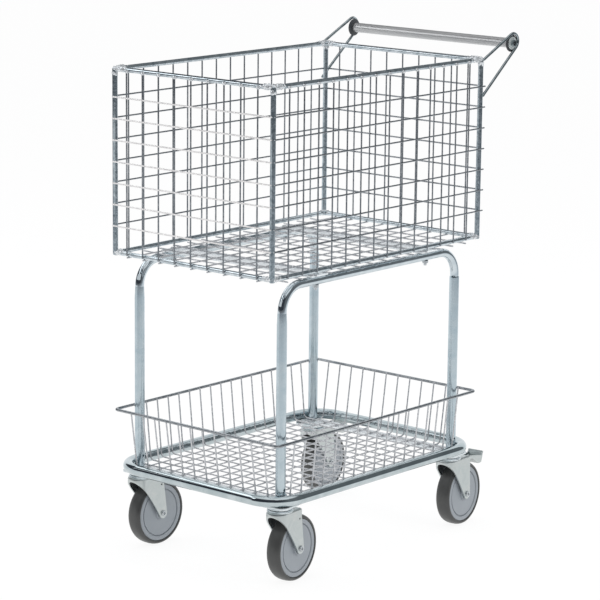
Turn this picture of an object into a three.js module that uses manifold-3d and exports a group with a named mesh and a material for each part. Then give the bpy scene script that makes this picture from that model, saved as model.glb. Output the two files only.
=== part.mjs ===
// Two-tier wire basket cart on four swivel casters, in millimetres with Z up.
// X is the width, Y the length with the push handle at +Y, and Z = 0 the ground.
// The pieces are laid out about the centre of the base, then the whole cart is moved
// along Y so that the origin is under the middle of its overall length.
// Left and right are as seen from the front end, looking towards the handle.
import * as THREE from 'three';
import { mergeVertices } from 'three/addons/utils/BufferGeometryUtils.js';
import Module from 'manifold-3d';

const wasm = await Module();
wasm.setup();

// Fits between neighbouring pieces
const SEAT_GAP = 0.2;
const BORE_GAP = 0.4;
const RUN_GAP = 0.5;
const WELD_SINK = 0.4;

// Casters
const WHEEL_DIAMETER = 125;
const TYRE_WIDTH = 30;
const TREAD_WIDTH = 13;
const TYRE_THICKNESS = 8;
const HUB_WIDTH = 28;
const HUB_BOSS_WIDTH = 34;
const HUB_BOSS_DIAMETER = 28;
const AXLE_DIAMETER = 10;
const AXLE_HEAD_DIAMETER = 16;
const AXLE_HEAD_HEIGHT = 4;
const SWIVEL_TRAIL = 38;
const FORK_SIDE_GAP = 1;
const FORK_PLATE = 3;
const FORK_NOSE_REACH = 28;
const FORK_NOSE_DEPTH = 6;
const FORK_EDGE_RISE = 6;
const FORK_HEEL = 40;
const FORK_EYE = 10;
const CROWN_CLEARANCE = 12.1;
const CROWN_PLATE = 4;
const CROWN_HEEL = 34;
const RACE_HEIGHT = 7.6;
const RACE_DIAMETER = 44;
const TOP_PLATE = 3.5;
const TOP_PLATE_SIDE = 56;
const TOP_PLATE_CORNER = 12;
const KING_PIN_DIAMETER = 10;
const KING_NUT_DIAMETER = 18;
const KING_NUT_HEIGHT = 5;
const CASTER_SIDE_INSET = 28.6;
const CASTER_END_INSET = 40.8;
const LEFT_FRONT_HEADING = -1;
const OTHER_HEADING = 6;

// Brake pedals on the rear casters
const PEDAL_HINGE_REACH = 41;
const PEDAL_HINGE_RISE = 9.9;
const PEDAL_PIN_DIAMETER = 5;
const PEDAL_BARREL_DIAMETER = 7;
const PEDAL_WIDTH = 34;
const PEDAL_SHEET = 2.5;
const PEDAL_SLOPE_START = 24;
const PEDAL_SLOPE_DROP = 8.5;
const PEDAL_FLOOR_START = 46;
const PEDAL_FLOOR_END = 56;
const PEDAL_FLOOR_DROP = 22;
const PEDAL_WALL_DROP = 7;
const PEDAL_LIP_RUN = 7;
const PEDAL_LIP_RISE = 22;
const PEDAL_EAR = 6;

// Base ring and the strips that carry the casters
const RING_WIDTH = 406;
const RING_LENGTH = 582;
const RING_CORNER = 60;
const RING_TUBE = 21;
const RING_WALL = 1.5;
const DRAIN_HOLE = 5;
const CASTER_STRIP_WIDTH = 30;
const CASTER_STRIP_PLATE = 4;

// Side frames, each an inverted U
const FRAME_TUBE = 18;
const FRAME_WALL = 1.5;
const FRAME_HEIGHT = 405;
const FRAME_BEND = 48;
const LEG_SEAT_ANGLE = 32;
const FLOOR_STRIP_WIDTH = 46;
const FLOOR_STRIP_PLATE = 3;
const FLOOR_STRIP_OVERHANG = 10;
const FLOOR_STRIP_GAP_COUNT = 2.5;
const BOLT_DIAMETER = 6;
const BOLT_HEAD_DIAMETER = 12;
const BOLT_HEAD_HEIGHT = 3.5;
const BOLT_NUT_HEIGHT = 5;
const BOLT_END = 4;

// Upper basket
const RIM_WIDTH = 382;
const RIM_LENGTH = 594;
const BASKET_DEPTH = 342;
const RIM_ROD = 8;
const POST_ROD = 9;
const MESH_WIRE = 3;
const MESH_PITCH = 40;
const MESH_EDGE = 30;
const LEVEL_EDGE = 48;
const SIDE_STUB = 2;
const FLOOR_STUB = 1;
const WIRE_LAP = 2;

// Lower basket
const TRAY_WIRE = 3;
const TRAY_PITCH = 30;
const TRAY_RIM_ROD = 5.5;
const TRAY_DEPTH = 111;
const TRAY_SIDE_GAP = 2.5;
const TRAY_END_GAP = 8;
const TRAY_SIDE_FLARE = 15.5;
const TRAY_END_FLARE = 20.5;
const TRAY_LEG_GAP = 1;

// Push handle
const HANDLE_REACH = 91.3;
const HANDLE_RISE = 24.5;
const HANDLE_TUBE = 18;
const BRACKET_ROD = 5.4;
const BRACKET_LAP = 2;
const BRACKET_TOP_DROP = 0;
const BRACKET_LOW_DROP = 69;
const LOOP_RADIUS = 16.2;
const LOOP_LIFT = 3.3;
const HANDLE_CAP_DIAMETER = 34;
const HANDLE_CAP_PLATE = 4;
const HANDLE_BOLT_DIAMETER = 8;
const HANDLE_BOLT_DEPTH = 30;
const HANDLE_WASHER_PLATE = 2;
const HANDLE_HEAD_DIAMETER = 15;
const HANDLE_HEAD_HEIGHT = 5;

// Facets of round pieces
const TUBE_SIDES = 12;
const BORE_SIDES = 8;
const ROD_SIDES = 8;
const WIRE_SIDES = 4;
const BRACKET_SIDES = 6;
const BEND_STEPS = 5;
const RIM_BEND_STEPS = 3;
const LOOP_STEPS = 10;
const ARC_STEPS = 4;
const WHEEL_SIDES = 20;
const SWIVEL_SIDES = 16;
const PIN_SIDES = 10;

// Heights from the ground up
const wheelRadius = WHEEL_DIAMETER / 2;
const crownBottom = WHEEL_DIAMETER + CROWN_CLEARANCE;
const crownTop = crownBottom + CROWN_PLATE;
const raceBottom = crownTop + RUN_GAP;
const topPlateBottom = raceBottom + RACE_HEIGHT;
const topPlateTop = topPlateBottom + TOP_PLATE;
const ringBottom = topPlateTop + SEAT_GAP;
const ringHeight = ringBottom + RING_TUBE / 2;
const casterStripTop = ringBottom + CASTER_STRIP_PLATE;
const frameFoot = casterStripTop + SEAT_GAP;
const frameTop = frameFoot + FRAME_HEIGHT;
const frameAxisHeight = frameTop - FRAME_TUBE / 2;
const floorStripBottom = frameTop + SEAT_GAP;
const floorStripTop = floorStripBottom + FLOOR_STRIP_PLATE;
const crossWireHeight = floorStripTop + SEAT_GAP + MESH_WIRE / 2;
const longWireHeight = crossWireHeight + MESH_WIRE - WELD_SINK;
const bottomRimHeight = longWireHeight + MESH_WIRE / 2 + SEAT_GAP + RIM_ROD / 2;
const topRimHeight = bottomRimHeight + BASKET_DEPTH;

// Layers of the basket walls, outwards from the rim rods
const uprightOffset = RIM_ROD / 2 + SEAT_GAP + MESH_WIRE / 2;
const levelOffset = uprightOffset + MESH_WIRE - WELD_SINK;
const postOffset = levelOffset - MESH_WIRE / 2 - SEAT_GAP - POST_ROD / 2;
const postX = RIM_WIDTH / 2 + postOffset;
const postY = RIM_LENGTH / 2 + postOffset;
const diagonal = Math.SQRT1_2;
const rimCorner = (diagonal * (RIM_ROD / 2 + POST_ROD / 2 + SEAT_GAP) - postOffset) / (1 - diagonal);

// Legs nest inside the corners of the base ring, clear of the flats of its bends
const bendFlat = Math.cos(Math.PI / (4 * BEND_STEPS));
const legSeat = (RING_CORNER - RING_TUBE / 2) * bendFlat - FRAME_TUBE / 2 - SEAT_GAP;
const legAngle = THREE.MathUtils.degToRad(LEG_SEAT_ANGLE);
const legX = RING_WIDTH / 2 - RING_CORNER + legSeat * Math.cos(legAngle);
const legY = RING_LENGTH / 2 - RING_CORNER + legSeat * Math.sin(legAngle);
const casterX = RING_WIDTH / 2 - CASTER_SIDE_INSET;
const casterY = RING_LENGTH / 2 - CASTER_END_INSET;

const FINISHES = {
  zincTube: { color: 0xb5c4cc, roughness: 0.3, metalness: 0.9 },
  zincWire: { color: 0x7d868c, roughness: 0.4, metalness: 0.85 },
  zincPlate: { color: 0xb9c0bd, roughness: 0.45, metalness: 0.8 },
  steelBolt: { color: 0x8a8f93, roughness: 0.4, metalness: 0.9 },
  gripPlastic: { color: 0xb8b3b0, roughness: 0.5, metalness: 0 },
  capPlastic: { color: 0x3c4044, roughness: 0.5, metalness: 0 },
  hubPlastic: { color: 0x989ea6, roughness: 0.55, metalness: 0 },
  tyreRubber: { color: 0x55524f, roughness: 0.75, metalness: 0 },
};

const cart = new THREE.Group();

// A path through given points, sampled only at those points
class RodPath extends THREE.Curve {
  constructor(points, closed) {
    super();
    this.points = closed ? [...points, points[0]] : points;
    this.closed = closed;
    this.steps = this.points.length - 1;
  }

  getPointAt(fraction) {
    return this.points[Math.round(fraction * this.steps)].clone();
  }

  getTangentAt(fraction) {
    const last = this.steps;
    const index = Math.round(fraction * last);
    const atSeam = this.closed && (index === 0 || index === last);
    const before = atSeam ? this.points[last - 1] : this.points[Math.max(index - 1, 0)];
    const after = atSeam ? this.points[1] : this.points[Math.min(index + 1, last)];
    const here = this.points[index];
    const arriving = here.clone().sub(before).normalize();
    const leaving = after.clone().sub(here).normalize();
    return arriving.add(leaving).normalize();
  }
}

function point(x, y, z) {
  return new THREE.Vector3(x, y, z);
}

function toSolid(geometry) {
  geometry.deleteAttribute('normal');
  geometry.deleteAttribute('uv');
  const merged = mergeVertices(geometry);
  const vertProperties = merged.attributes.position.array;
  const triVerts = Uint32Array.from(merged.index.array);
  return new wasm.Manifold(new wasm.Mesh({ numProp: 3, vertProperties, triVerts }));
}

function toGeometry(solid) {
  const mesh = solid.getMesh();
  const geometry = new THREE.BufferGeometry();
  geometry.setAttribute('position', new THREE.BufferAttribute(mesh.vertProperties, 3));
  geometry.setIndex(new THREE.BufferAttribute(mesh.triVerts, 1));
  geometry.computeVertexNormals();
  return geometry;
}

function addPiece(name, solid, finish, parent = cart) {
  const mesh = new THREE.Mesh(toGeometry(solid), new THREE.MeshStandardMaterial(FINISHES[finish]));
  mesh.name = name;
  parent.add(mesh);
}

function join(solids) {
  return wasm.Manifold.union(solids);
}

// The walls of an extrusion without its end caps, for a path that closes on itself
function wallsOnly(geometry) {
  const { start, count } = geometry.groups[1];
  const position = geometry.attributes.position.array.slice(start * 3, (start + count) * 3);
  return new THREE.BufferGeometry().setAttribute('position', new THREE.BufferAttribute(position, 3));
}

function rod(points, diameter, sides, closed = false) {
  const path = new RodPath(points, closed);
  const corners = [];
  for (let side = 0; side < sides; side += 1) {
    const angle = (2 * Math.PI * side) / sides;
    corners.push(new THREE.Vector2(Math.cos(angle), Math.sin(angle)).multiplyScalar(diameter / 2));
  }
  const section = new THREE.Shape(corners);
  const extrusion = new THREE.ExtrudeGeometry(section, { steps: path.steps, extrudePath: path });
  return toSolid(closed ? wallsOnly(extrusion) : extrusion);
}

function plate(shape, thickness, bottom) {
  const options = { depth: thickness, bevelEnabled: false, curveSegments: ARC_STEPS };
  return toSolid(new THREE.ExtrudeGeometry(shape, options).translate(0, 0, bottom));
}

// An outline drawn in Y and Z, given a width along X
function sideProfile(shape, fromX, toX) {
  const options = { depth: toX - fromX, bevelEnabled: false, curveSegments: ARC_STEPS };
  const extrusion = new THREE.ExtrudeGeometry(shape, options);
  extrusion.rotateX(Math.PI / 2).rotateZ(Math.PI / 2);
  return toSolid(extrusion.translate(fromX, 0, 0));
}

function box(width, length, height, x, y, bottom) {
  const geometry = new THREE.BoxGeometry(width, length, height);
  return toSolid(geometry.translate(x, y, bottom + height / 2));
}

// A turned piece about Z, from radius and height pairs
function turnedUpright(profile, sides) {
  const outline = profile.map(([radius, height]) => new THREE.Vector2(radius, height));
  return toSolid(new THREE.LatheGeometry(outline, sides, Math.PI / sides).rotateX(Math.PI / 2));
}

// A turned piece about X, from radius and X pairs
function turnedAcross(profile, sides) {
  const outline = profile.map(([radius, across]) => new THREE.Vector2(radius, across));
  return toSolid(new THREE.LatheGeometry(outline, sides, Math.PI / sides).rotateZ(-Math.PI / 2));
}

// Rounds the corners of a route with arcs of one radius
function bentPath(corners, radius, steps, closed = false) {
  const path = [];
  corners.forEach((corner, index) => {
    const isEnd = !closed && (index === 0 || index === corners.length - 1);
    if (isEnd) {
      path.push(corner);
      return;
    }
    const before = corners[(index + corners.length - 1) % corners.length];
    const after = corners[(index + 1) % corners.length];
    const back = before.clone().sub(corner).normalize();
    const ahead = after.clone().sub(corner).normalize();
    const halfAngle = back.angleTo(ahead) / 2;
    const tangentLength = radius / Math.tan(halfAngle);
    const middle = back.clone().add(ahead).normalize();
    const centre = corner.clone().addScaledVector(middle, radius / Math.sin(halfAngle));
    const first = corner.clone().addScaledVector(back, tangentLength).sub(centre);
    const last = corner.clone().addScaledVector(ahead, tangentLength).sub(centre);
    const turn = first.angleTo(last);
    for (let step = 0; step <= steps; step += 1) {
      const share = step / steps;
      const spoke = first.clone().multiplyScalar(Math.sin((1 - share) * turn) / Math.sin(turn));
      spoke.addScaledVector(last, Math.sin(share * turn) / Math.sin(turn));
      path.push(centre.clone().add(spoke));
    }
  });
  return path;
}

function rectangle(width, length, height) {
  return [
    point(width / 2, -length / 2, height),
    point(width / 2, length / 2, height),
    point(-width / 2, length / 2, height),
    point(-width / 2, -length / 2, height),
  ];
}

// Evenly spaced places that fill a span, centred on a point
function spaced(span, pitch, centre = 0) {
  const gaps = Math.floor(span / pitch);
  const places = [];
  for (let index = 0; index <= gaps; index += 1) {
    places.push(centre + (index - gaps / 2) * pitch);
  }
  return places;
}

const endUprights = spaced(RIM_WIDTH - 2 * MESH_EDGE, MESH_PITCH);
const sideUprights = spaced(RIM_LENGTH - 2 * MESH_EDGE, MESH_PITCH);
const levels = spaced(BASKET_DEPTH - 2 * LEVEL_EDGE, MESH_PITCH, (bottomRimHeight + topRimHeight) / 2);
const floorStripFront = sideUprights[0] + FLOOR_STRIP_GAP_COUNT * MESH_PITCH;
const floorStripRear = sideUprights.at(-1) - FLOOR_STRIP_GAP_COUNT * MESH_PITCH;

function meshWire(from, to) {
  return rod([from, to], MESH_WIRE, WIRE_SIDES);
}

// Straight wires side by side at one height
function wiresAlongX(places, reach, height, diameter) {
  return places.map((y) => rod([point(-reach, y, height), point(reach, y, height)], diameter, WIRE_SIDES));
}

function wiresAlongY(places, reach, height, diameter) {
  return places.map((x) => rod([point(x, -reach, height), point(x, reach, height)], diameter, WIRE_SIDES));
}

function endPanel(side) {
  const uprightY = side * (RIM_LENGTH / 2 + uprightOffset);
  const levelY = side * (RIM_LENGTH / 2 + levelOffset);
  const reach = postX + POST_ROD / 2 - SEAT_GAP;
  const low = bottomRimHeight - WIRE_LAP;
  const high = topRimHeight + WIRE_LAP;
  const uprights = endUprights.map((x) => meshWire(point(x, uprightY, low), point(x, uprightY, high)));
  const crossings = levels.map((z) => meshWire(point(-reach, levelY, z), point(reach, levelY, z)));
  return join([...uprights, ...crossings]);
}

function sidePanel(side) {
  const uprightX = side * (RIM_WIDTH / 2 + uprightOffset);
  const levelX = side * (RIM_WIDTH / 2 + levelOffset);
  const rear = postY + POST_ROD / 2 + SIDE_STUB;
  const low = bottomRimHeight - WIRE_LAP;
  const high = topRimHeight + WIRE_LAP;
  const uprights = sideUprights.map((y) => meshWire(point(uprightX, y, low), point(uprightX, y, high)));
  const crossings = levels.map((z) => meshWire(point(levelX, -postY, z), point(levelX, rear, z)));
  return join([...uprights, ...crossings]);
}

function basketFloor() {
  const reachX = RIM_WIDTH / 2 + RIM_ROD / 2 + FLOOR_STUB;
  const reachY = RIM_LENGTH / 2 + RIM_ROD / 2 + FLOOR_STUB;
  const long = wiresAlongY(endUprights, reachY, longWireHeight, MESH_WIRE);
  const cross = wiresAlongX(sideUprights, reachX, crossWireHeight, MESH_WIRE);
  return join([...long, ...cross]);
}

function addUpperBasket() {
  const rims = { basket_top_rim: topRimHeight, basket_bottom_rim: bottomRimHeight };
  for (const [name, height] of Object.entries(rims)) {
    const path = bentPath(rectangle(RIM_WIDTH, RIM_LENGTH, height), rimCorner, RIM_BEND_STEPS, true);
    addPiece(name, rod(path, RIM_ROD, ROD_SIDES, true), 'zincTube');
  }
  const low = bottomRimHeight - RIM_ROD / 2;
  const high = topRimHeight + RIM_ROD / 2;
  for (const [end, endSide] of [['front', -1], ['rear', 1]]) {
    for (const [hand, handSide] of [['left', -1], ['right', 1]]) {
      const x = handSide * postX;
      const y = endSide * postY;
      const post = rod([point(x, y, low), point(x, y, high)], POST_ROD, ROD_SIDES);
      addPiece(`corner_post_${end}_${hand}`, post, 'zincTube');
    }
  }
  addPiece('mesh_panel_front', endPanel(-1), 'zincWire');
  addPiece('mesh_panel_rear', endPanel(1), 'zincWire');
  addPiece('mesh_panel_left', sidePanel(-1), 'zincWire');
  addPiece('mesh_panel_right', sidePanel(1), 'zincWire');
  addPiece('mesh_floor', basketFloor(), 'zincWire');
}

const handleY = postY + HANDLE_REACH;
const handleZ = topRimHeight + HANDLE_RISE;

// One rod lapped on the outer side of the post, round the handle end and back, in a plane of constant X
const loopZ = handleZ + LOOP_LIFT;
const bracketX = postX + POST_ROD / 2 + BRACKET_ROD / 2 + SEAT_GAP;

function bracketPath(x) {
  const weldY = postY - BRACKET_LAP;
  const reach = handleY - weldY;
  const topWeld = topRimHeight - BRACKET_TOP_DROP;
  const lowWeld = topRimHeight - BRACKET_LOW_DROP;
  const lift = (weld) => Math.atan2(loopZ - weld, reach);
  const widen = (weld) => Math.asin(LOOP_RADIUS / Math.hypot(loopZ - weld, reach));
  const startAngle = lift(topWeld) + widen(topWeld) + Math.PI / 2;
  const endAngle = lift(lowWeld) - widen(lowWeld) - Math.PI / 2;
  const path = [point(x, weldY, topWeld)];
  for (let step = 0; step <= LOOP_STEPS; step += 1) {
    const angle = startAngle + ((endAngle - startAngle) * step) / LOOP_STEPS;
    const y = handleY + LOOP_RADIUS * Math.cos(angle);
    path.push(point(x, y, loopZ + LOOP_RADIUS * Math.sin(angle)));
  }
  path.push(point(x, weldY, lowWeld));
  return path;
}

function handleBracket(x) {
  return rod(bracketPath(x), BRACKET_ROD, BRACKET_SIDES);
}

function addHandle() {
  const capOuter = bracketX - BRACKET_ROD / 2 - SEAT_GAP;
  const capInner = capOuter - HANDLE_CAP_PLATE;
  const tubeEnd = capInner - SEAT_GAP;
  const washerInner = capOuter + SEAT_GAP;
  const washerOuter = washerInner + HANDLE_WASHER_PLATE;
  const headOuter = washerOuter + HANDLE_HEAD_HEIGHT;
  const shankEnd = tubeEnd - HANDLE_BOLT_DEPTH;
  const shankRadius = HANDLE_BOLT_DIAMETER / 2;
  const boreRadius = shankRadius + BORE_GAP;
  const capRadius = HANDLE_CAP_DIAMETER / 2;
  const washerRadius = LOOP_RADIUS - LOOP_LIFT - BRACKET_ROD / 2 - 2 * BORE_GAP;
  const tubeRadius = HANDLE_TUBE / 2;
  const headRadius = HANDLE_HEAD_DIAMETER / 2;
  const place = (solid) => solid.translate([0, handleY, handleZ]);
  const ring = (inner, outer, from, to) => turnedAcross(
    [[inner, from], [outer, from], [outer, to], [inner, to], [inner, from]],
    PIN_SIDES,
  );
  addPiece('handle_tube', place(ring(boreRadius, tubeRadius, -tubeEnd, tubeEnd)), 'gripPlastic');
  for (const [hand, side] of [['left', -1], ['right', 1]]) {
    const cap = ring(boreRadius, capRadius, capInner, capOuter);
    const bolt = turnedAcross([
      [0, shankEnd],
      [shankRadius, shankEnd],
      [shankRadius, washerInner],
      [washerRadius, washerInner],
      [washerRadius, washerOuter],
      [headRadius, washerOuter],
      [headRadius, headOuter],
      [0, headOuter],
    ], PIN_SIDES);
    const turned = (solid) => (side > 0 ? solid : solid.rotate([0, 0, 180]));
    addPiece(`handle_bracket_${hand}`, handleBracket(side * bracketX), 'zincTube');
    addPiece(`handle_end_cap_${hand}`, place(turned(cap)), 'capPlastic');
    addPiece(`handle_bolt_${hand}`, place(turned(bolt)), 'steelBolt');
  }
}

function boltHole(x, y, diameter, low, high) {
  return rod([point(x, y, low), point(x, y, high)], diameter, PIN_SIDES);
}

function sideFrame(side) {
  const x = side * legX;
  const route = [
    point(x, -legY, frameFoot),
    point(x, -legY, frameAxisHeight),
    point(x, legY, frameAxisHeight),
    point(x, legY, frameFoot),
  ];
  const boreRoute = route.map((corner) => corner.clone());
  boreRoute[0].z -= FRAME_TUBE;
  boreRoute[3].z -= FRAME_TUBE;
  const outer = rod(bentPath(route, FRAME_BEND, BEND_STEPS), FRAME_TUBE, TUBE_SIDES);
  const bore = rod(bentPath(boreRoute, FRAME_BEND, BEND_STEPS), FRAME_TUBE - 2 * FRAME_WALL, BORE_SIDES);
  const holes = [floorStripFront, floorStripRear].map((y) => boltHole(
    x,
    y,
    BOLT_DIAMETER + 2 * BORE_GAP,
    frameAxisHeight - FRAME_TUBE,
    frameAxisHeight + FRAME_TUBE,
  ));
  return outer.subtract(join([bore, ...holes]));
}

function floorStrip(y) {
  const width = 2 * (legX + FLOOR_STRIP_OVERHANG);
  const strip = box(width, FLOOR_STRIP_WIDTH, FLOOR_STRIP_PLATE, 0, y, floorStripBottom);
  const holes = [-legX, legX].map((x) => boltHole(
    x,
    y,
    BOLT_DIAMETER + 2 * BORE_GAP,
    floorStripBottom - FLOOR_STRIP_PLATE,
    floorStripTop + FLOOR_STRIP_PLATE,
  ));
  return strip.subtract(join(holes));
}

function basketBolt(x, y) {
  const headRadius = BOLT_HEAD_DIAMETER / 2;
  const shankRadius = BOLT_DIAMETER / 2;
  const headBottom = floorStripTop + SEAT_GAP;
  const nutTop = frameTop - FRAME_TUBE - SEAT_GAP;
  const nutBottom = nutTop - BOLT_NUT_HEIGHT;
  const bolt = turnedUpright([
    [0, nutBottom - BOLT_END],
    [shankRadius, nutBottom - BOLT_END],
    [shankRadius, nutBottom],
    [headRadius, nutBottom],
    [headRadius, nutTop],
    [shankRadius, nutTop],
    [shankRadius, headBottom],
    [headRadius, headBottom],
    [headRadius, headBottom + BOLT_HEAD_HEIGHT],
    [0, headBottom + BOLT_HEAD_HEIGHT],
  ], PIN_SIDES);
  return bolt.translate([x, y, 0]);
}

function addFrame() {
  addPiece('side_frame_left', sideFrame(-1), 'zincTube');
  addPiece('side_frame_right', sideFrame(1), 'zincTube');
  for (const [end, y] of [['front', floorStripFront], ['rear', floorStripRear]]) {
    addPiece(`floor_strip_${end}`, floorStrip(y), 'zincPlate');
    addPiece(`basket_bolt_${end}_left`, basketBolt(-legX, y), 'steelBolt');
    addPiece(`basket_bolt_${end}_right`, basketBolt(legX, y), 'steelBolt');
  }
}

const ringPath = bentPath(rectangle(RING_WIDTH, RING_LENGTH, ringHeight), RING_CORNER, BEND_STEPS, true);

function baseRing() {
  const outer = rod(ringPath, RING_TUBE, TUBE_SIDES, true);
  const bore = rod(ringPath, RING_TUBE - 2 * RING_WALL, BORE_SIDES, true);
  const drain = boltHole(0, RING_LENGTH / 2, DRAIN_HOLE, ringBottom - RING_TUBE, ringHeight);
  return outer.subtract(bore).subtract(drain);
}

function addBase() {
  addPiece('base_ring', baseRing(), 'zincTube');
  const width = RING_WIDTH - RING_TUBE - 2 * SEAT_GAP;
  const ringRoom = rod(ringPath, RING_TUBE + 2 * SEAT_GAP, TUBE_SIDES, true);
  for (const [end, side] of [['front', -1], ['rear', 1]]) {
    const y = side * casterY;
    const strip = box(width, CASTER_STRIP_WIDTH, CASTER_STRIP_PLATE, 0, y, ringBottom);
    addPiece(`caster_strip_${end}`, strip.subtract(ringRoom), 'zincPlate');
  }
}

// Lower basket: long wires lie on the caster strips and cross wires on the long wires
const trayLongHeight = casterStripTop + SEAT_GAP + TRAY_WIRE / 2;
const trayCrossHeight = trayLongHeight + TRAY_WIRE - WELD_SINK;
const trayRimHeight = trayCrossHeight + TRAY_DEPTH;
const trayFloorX = (RING_WIDTH - RING_TUBE - TRAY_WIRE) / 2 - TRAY_SIDE_GAP;
const trayFloorY = (RING_LENGTH - RING_TUBE - TRAY_WIRE) / 2 - TRAY_END_GAP;
const trayRimX = trayFloorX + TRAY_SIDE_FLARE;
const trayRimY = trayFloorY + TRAY_END_FLARE;
const legRoom = FRAME_TUBE / 2 + TRAY_WIRE / 2 + TRAY_LEG_GAP;
const trayLongPlaces = spaced(2 * (legX - legRoom), TRAY_PITCH);
const trayCrossPlaces = spaced(2 * (legY - legRoom), TRAY_PITCH);
const trayRimInset = (TRAY_RIM_ROD + TRAY_WIRE) / 2 - WELD_SINK;

function trayWire(from, to) {
  return rod([from, to], TRAY_WIRE, WIRE_SIDES);
}

function trayFloor() {
  const reachX = trayFloorX - TRAY_WIRE / 2 - BORE_GAP;
  const reachY = trayFloorY - TRAY_WIRE / 2 - BORE_GAP;
  const long = wiresAlongY(trayLongPlaces, reachY, trayLongHeight, TRAY_WIRE);
  const cross = wiresAlongX(trayCrossPlaces, reachX, trayCrossHeight, TRAY_WIRE);
  return join([...long, ...cross]);
}

function traySideWall(side) {
  const low = trayCrossHeight - TRAY_WIRE / 2;
  const lowX = side * trayFloorX;
  const rimX = side * trayRimX;
  const topX = side * (trayRimX - trayRimInset);
  const reach = trayRimY + TRAY_RIM_ROD / 2;
  const rimEnds = [point(rimX, -reach, trayRimHeight), point(rimX, reach, trayRimHeight)];
  const rim = rod(rimEnds, TRAY_RIM_ROD, ROD_SIDES);
  const wires = trayCrossPlaces.map((y) => trayWire(point(lowX, y, low), point(topX, y, trayRimHeight)));
  return join([rim, ...wires]);
}

function trayEndWall(side) {
  const low = trayLongHeight - TRAY_WIRE / 2;
  const lowY = side * trayFloorY;
  const rimY = side * trayRimY;
  const topY = side * (trayRimY - trayRimInset);
  const reach = trayRimX - TRAY_RIM_ROD / 2 - SEAT_GAP;
  const rimEnds = [point(-reach, rimY, trayRimHeight), point(reach, rimY, trayRimHeight)];
  const rim = rod(rimEnds, TRAY_RIM_ROD, ROD_SIDES);
  const wires = trayLongPlaces.map((x) => trayWire(point(x, lowY, low), point(x, topY, trayRimHeight)));
  return join([rim, ...wires]);
}

function addLowerBasket() {
  addPiece('tray_floor', trayFloor(), 'zincWire');
  addPiece('tray_wall_left', traySideWall(-1), 'zincWire');
  addPiece('tray_wall_right', traySideWall(1), 'zincWire');
  addPiece('tray_wall_front', trayEndWall(-1), 'zincWire');
  addPiece('tray_wall_rear', trayEndWall(1), 'zincWire');
}

// Casters, each in its own frame: the king pin on the Z axis and the wheel trailing to +Y
const forkInner = HUB_BOSS_WIDTH / 2 + FORK_SIDE_GAP;
const forkOuter = forkInner + FORK_PLATE;
const noseCentre = forkOuter - FORK_NOSE_REACH;
const hubRadius = wheelRadius - TYRE_THICKNESS;
const pedalHingeZ = WHEEL_DIAMETER + PEDAL_HINGE_RISE;

function wheelPiece(profile) {
  return turnedAcross(profile, WHEEL_SIDES).translate([0, SWIVEL_TRAIL, wheelRadius]);
}

function tyre() {
  const treadRadius = wheelRadius / Math.cos(Math.PI / WHEEL_SIDES);
  const inner = hubRadius + BORE_GAP;
  const half = TYRE_WIDTH / 2;
  const tread = TREAD_WIDTH / 2;
  const shoulder = (treadRadius + inner) / 2;
  const bead = HUB_WIDTH / 2;
  return wheelPiece([
    [inner, -bead],
    [shoulder, -half],
    [treadRadius, -tread],
    [treadRadius, tread],
    [shoulder, half],
    [inner, bead],
    [inner, -bead],
  ]);
}

function hub() {
  const bore = AXLE_DIAMETER / 2 + BORE_GAP;
  const boss = HUB_BOSS_DIAMETER / 2;
  const bossHalf = HUB_BOSS_WIDTH / 2;
  const half = HUB_WIDTH / 2;
  return wheelPiece([
    [bore, -bossHalf],
    [boss, -bossHalf],
    [hubRadius, -half],
    [hubRadius, half],
    [boss, bossHalf],
    [bore, bossHalf],
    [bore, -bossHalf],
  ]);
}

function axle() {
  const shank = AXLE_DIAMETER / 2;
  const head = AXLE_HEAD_DIAMETER / 2;
  const inner = forkOuter + SEAT_GAP;
  const outer = inner + AXLE_HEAD_HEIGHT;
  const profile = [
    [0, -outer],
    [head, -outer],
    [head, -inner],
    [shank, -inner],
    [shank, inner],
    [head, inner],
    [head, outer],
    [0, outer],
  ];
  return turnedAcross(profile, PIN_SIDES).translate([0, SWIVEL_TRAIL, wheelRadius]);
}

// Seen from above: a half round nose and two straight sides
function forkPlan(halfWidth, heel) {
  const outline = new THREE.Shape();
  outline.moveTo(halfWidth, heel);
  outline.lineTo(-halfWidth, heel);
  outline.lineTo(-halfWidth, noseCentre);
  outline.absarc(0, noseCentre, halfWidth, Math.PI, 2 * Math.PI, false);
  return outline;
}

// Seen from the side: an edge that bows up a little on its way from under the nose to the axle eye
function forkSide(hasBrake) {
  const heel = hasBrake ? PEDAL_HINGE_REACH + PEDAL_EAR : FORK_HEEL;
  const earBottom = pedalHingeZ - PEDAL_EAR;
  const noseBottom = crownTop - FORK_NOSE_DEPTH;
  const overTop = crownTop + CROWN_PLATE;
  const reach = SWIVEL_TRAIL + FORK_NOSE_REACH;
  const drop = noseBottom - wheelRadius;
  const slope = Math.atan2(drop, reach) + Math.asin(FORK_EYE / Math.hypot(reach, drop));
  const outline = new THREE.Shape();
  outline.moveTo(-2 * FORK_NOSE_REACH, overTop);
  outline.lineTo(-2 * FORK_NOSE_REACH, noseBottom);
  outline.lineTo(-FORK_NOSE_REACH, noseBottom);
  const eyeStart = -slope - Math.PI / 2;
  const eyeY = SWIVEL_TRAIL + FORK_EYE * Math.cos(eyeStart);
  const eyeZ = wheelRadius + FORK_EYE * Math.sin(eyeStart);
  const middleY = (eyeY - FORK_NOSE_REACH) / 2;
  const middleZ = (eyeZ + noseBottom) / 2;
  outline.quadraticCurveTo(
    middleY + FORK_EDGE_RISE * Math.sin(slope),
    middleZ + FORK_EDGE_RISE * Math.cos(slope),
    eyeY,
    eyeZ,
  );
  outline.absarc(SWIVEL_TRAIL, wheelRadius, FORK_EYE, eyeStart, 0, false);
  outline.lineTo(heel, earBottom);
  outline.lineTo(heel, overTop);
  return outline;
}

function kingPinHole(low, high) {
  return boltHole(0, 0, KING_PIN_DIAMETER + 2 * BORE_GAP, low, high);
}

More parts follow.
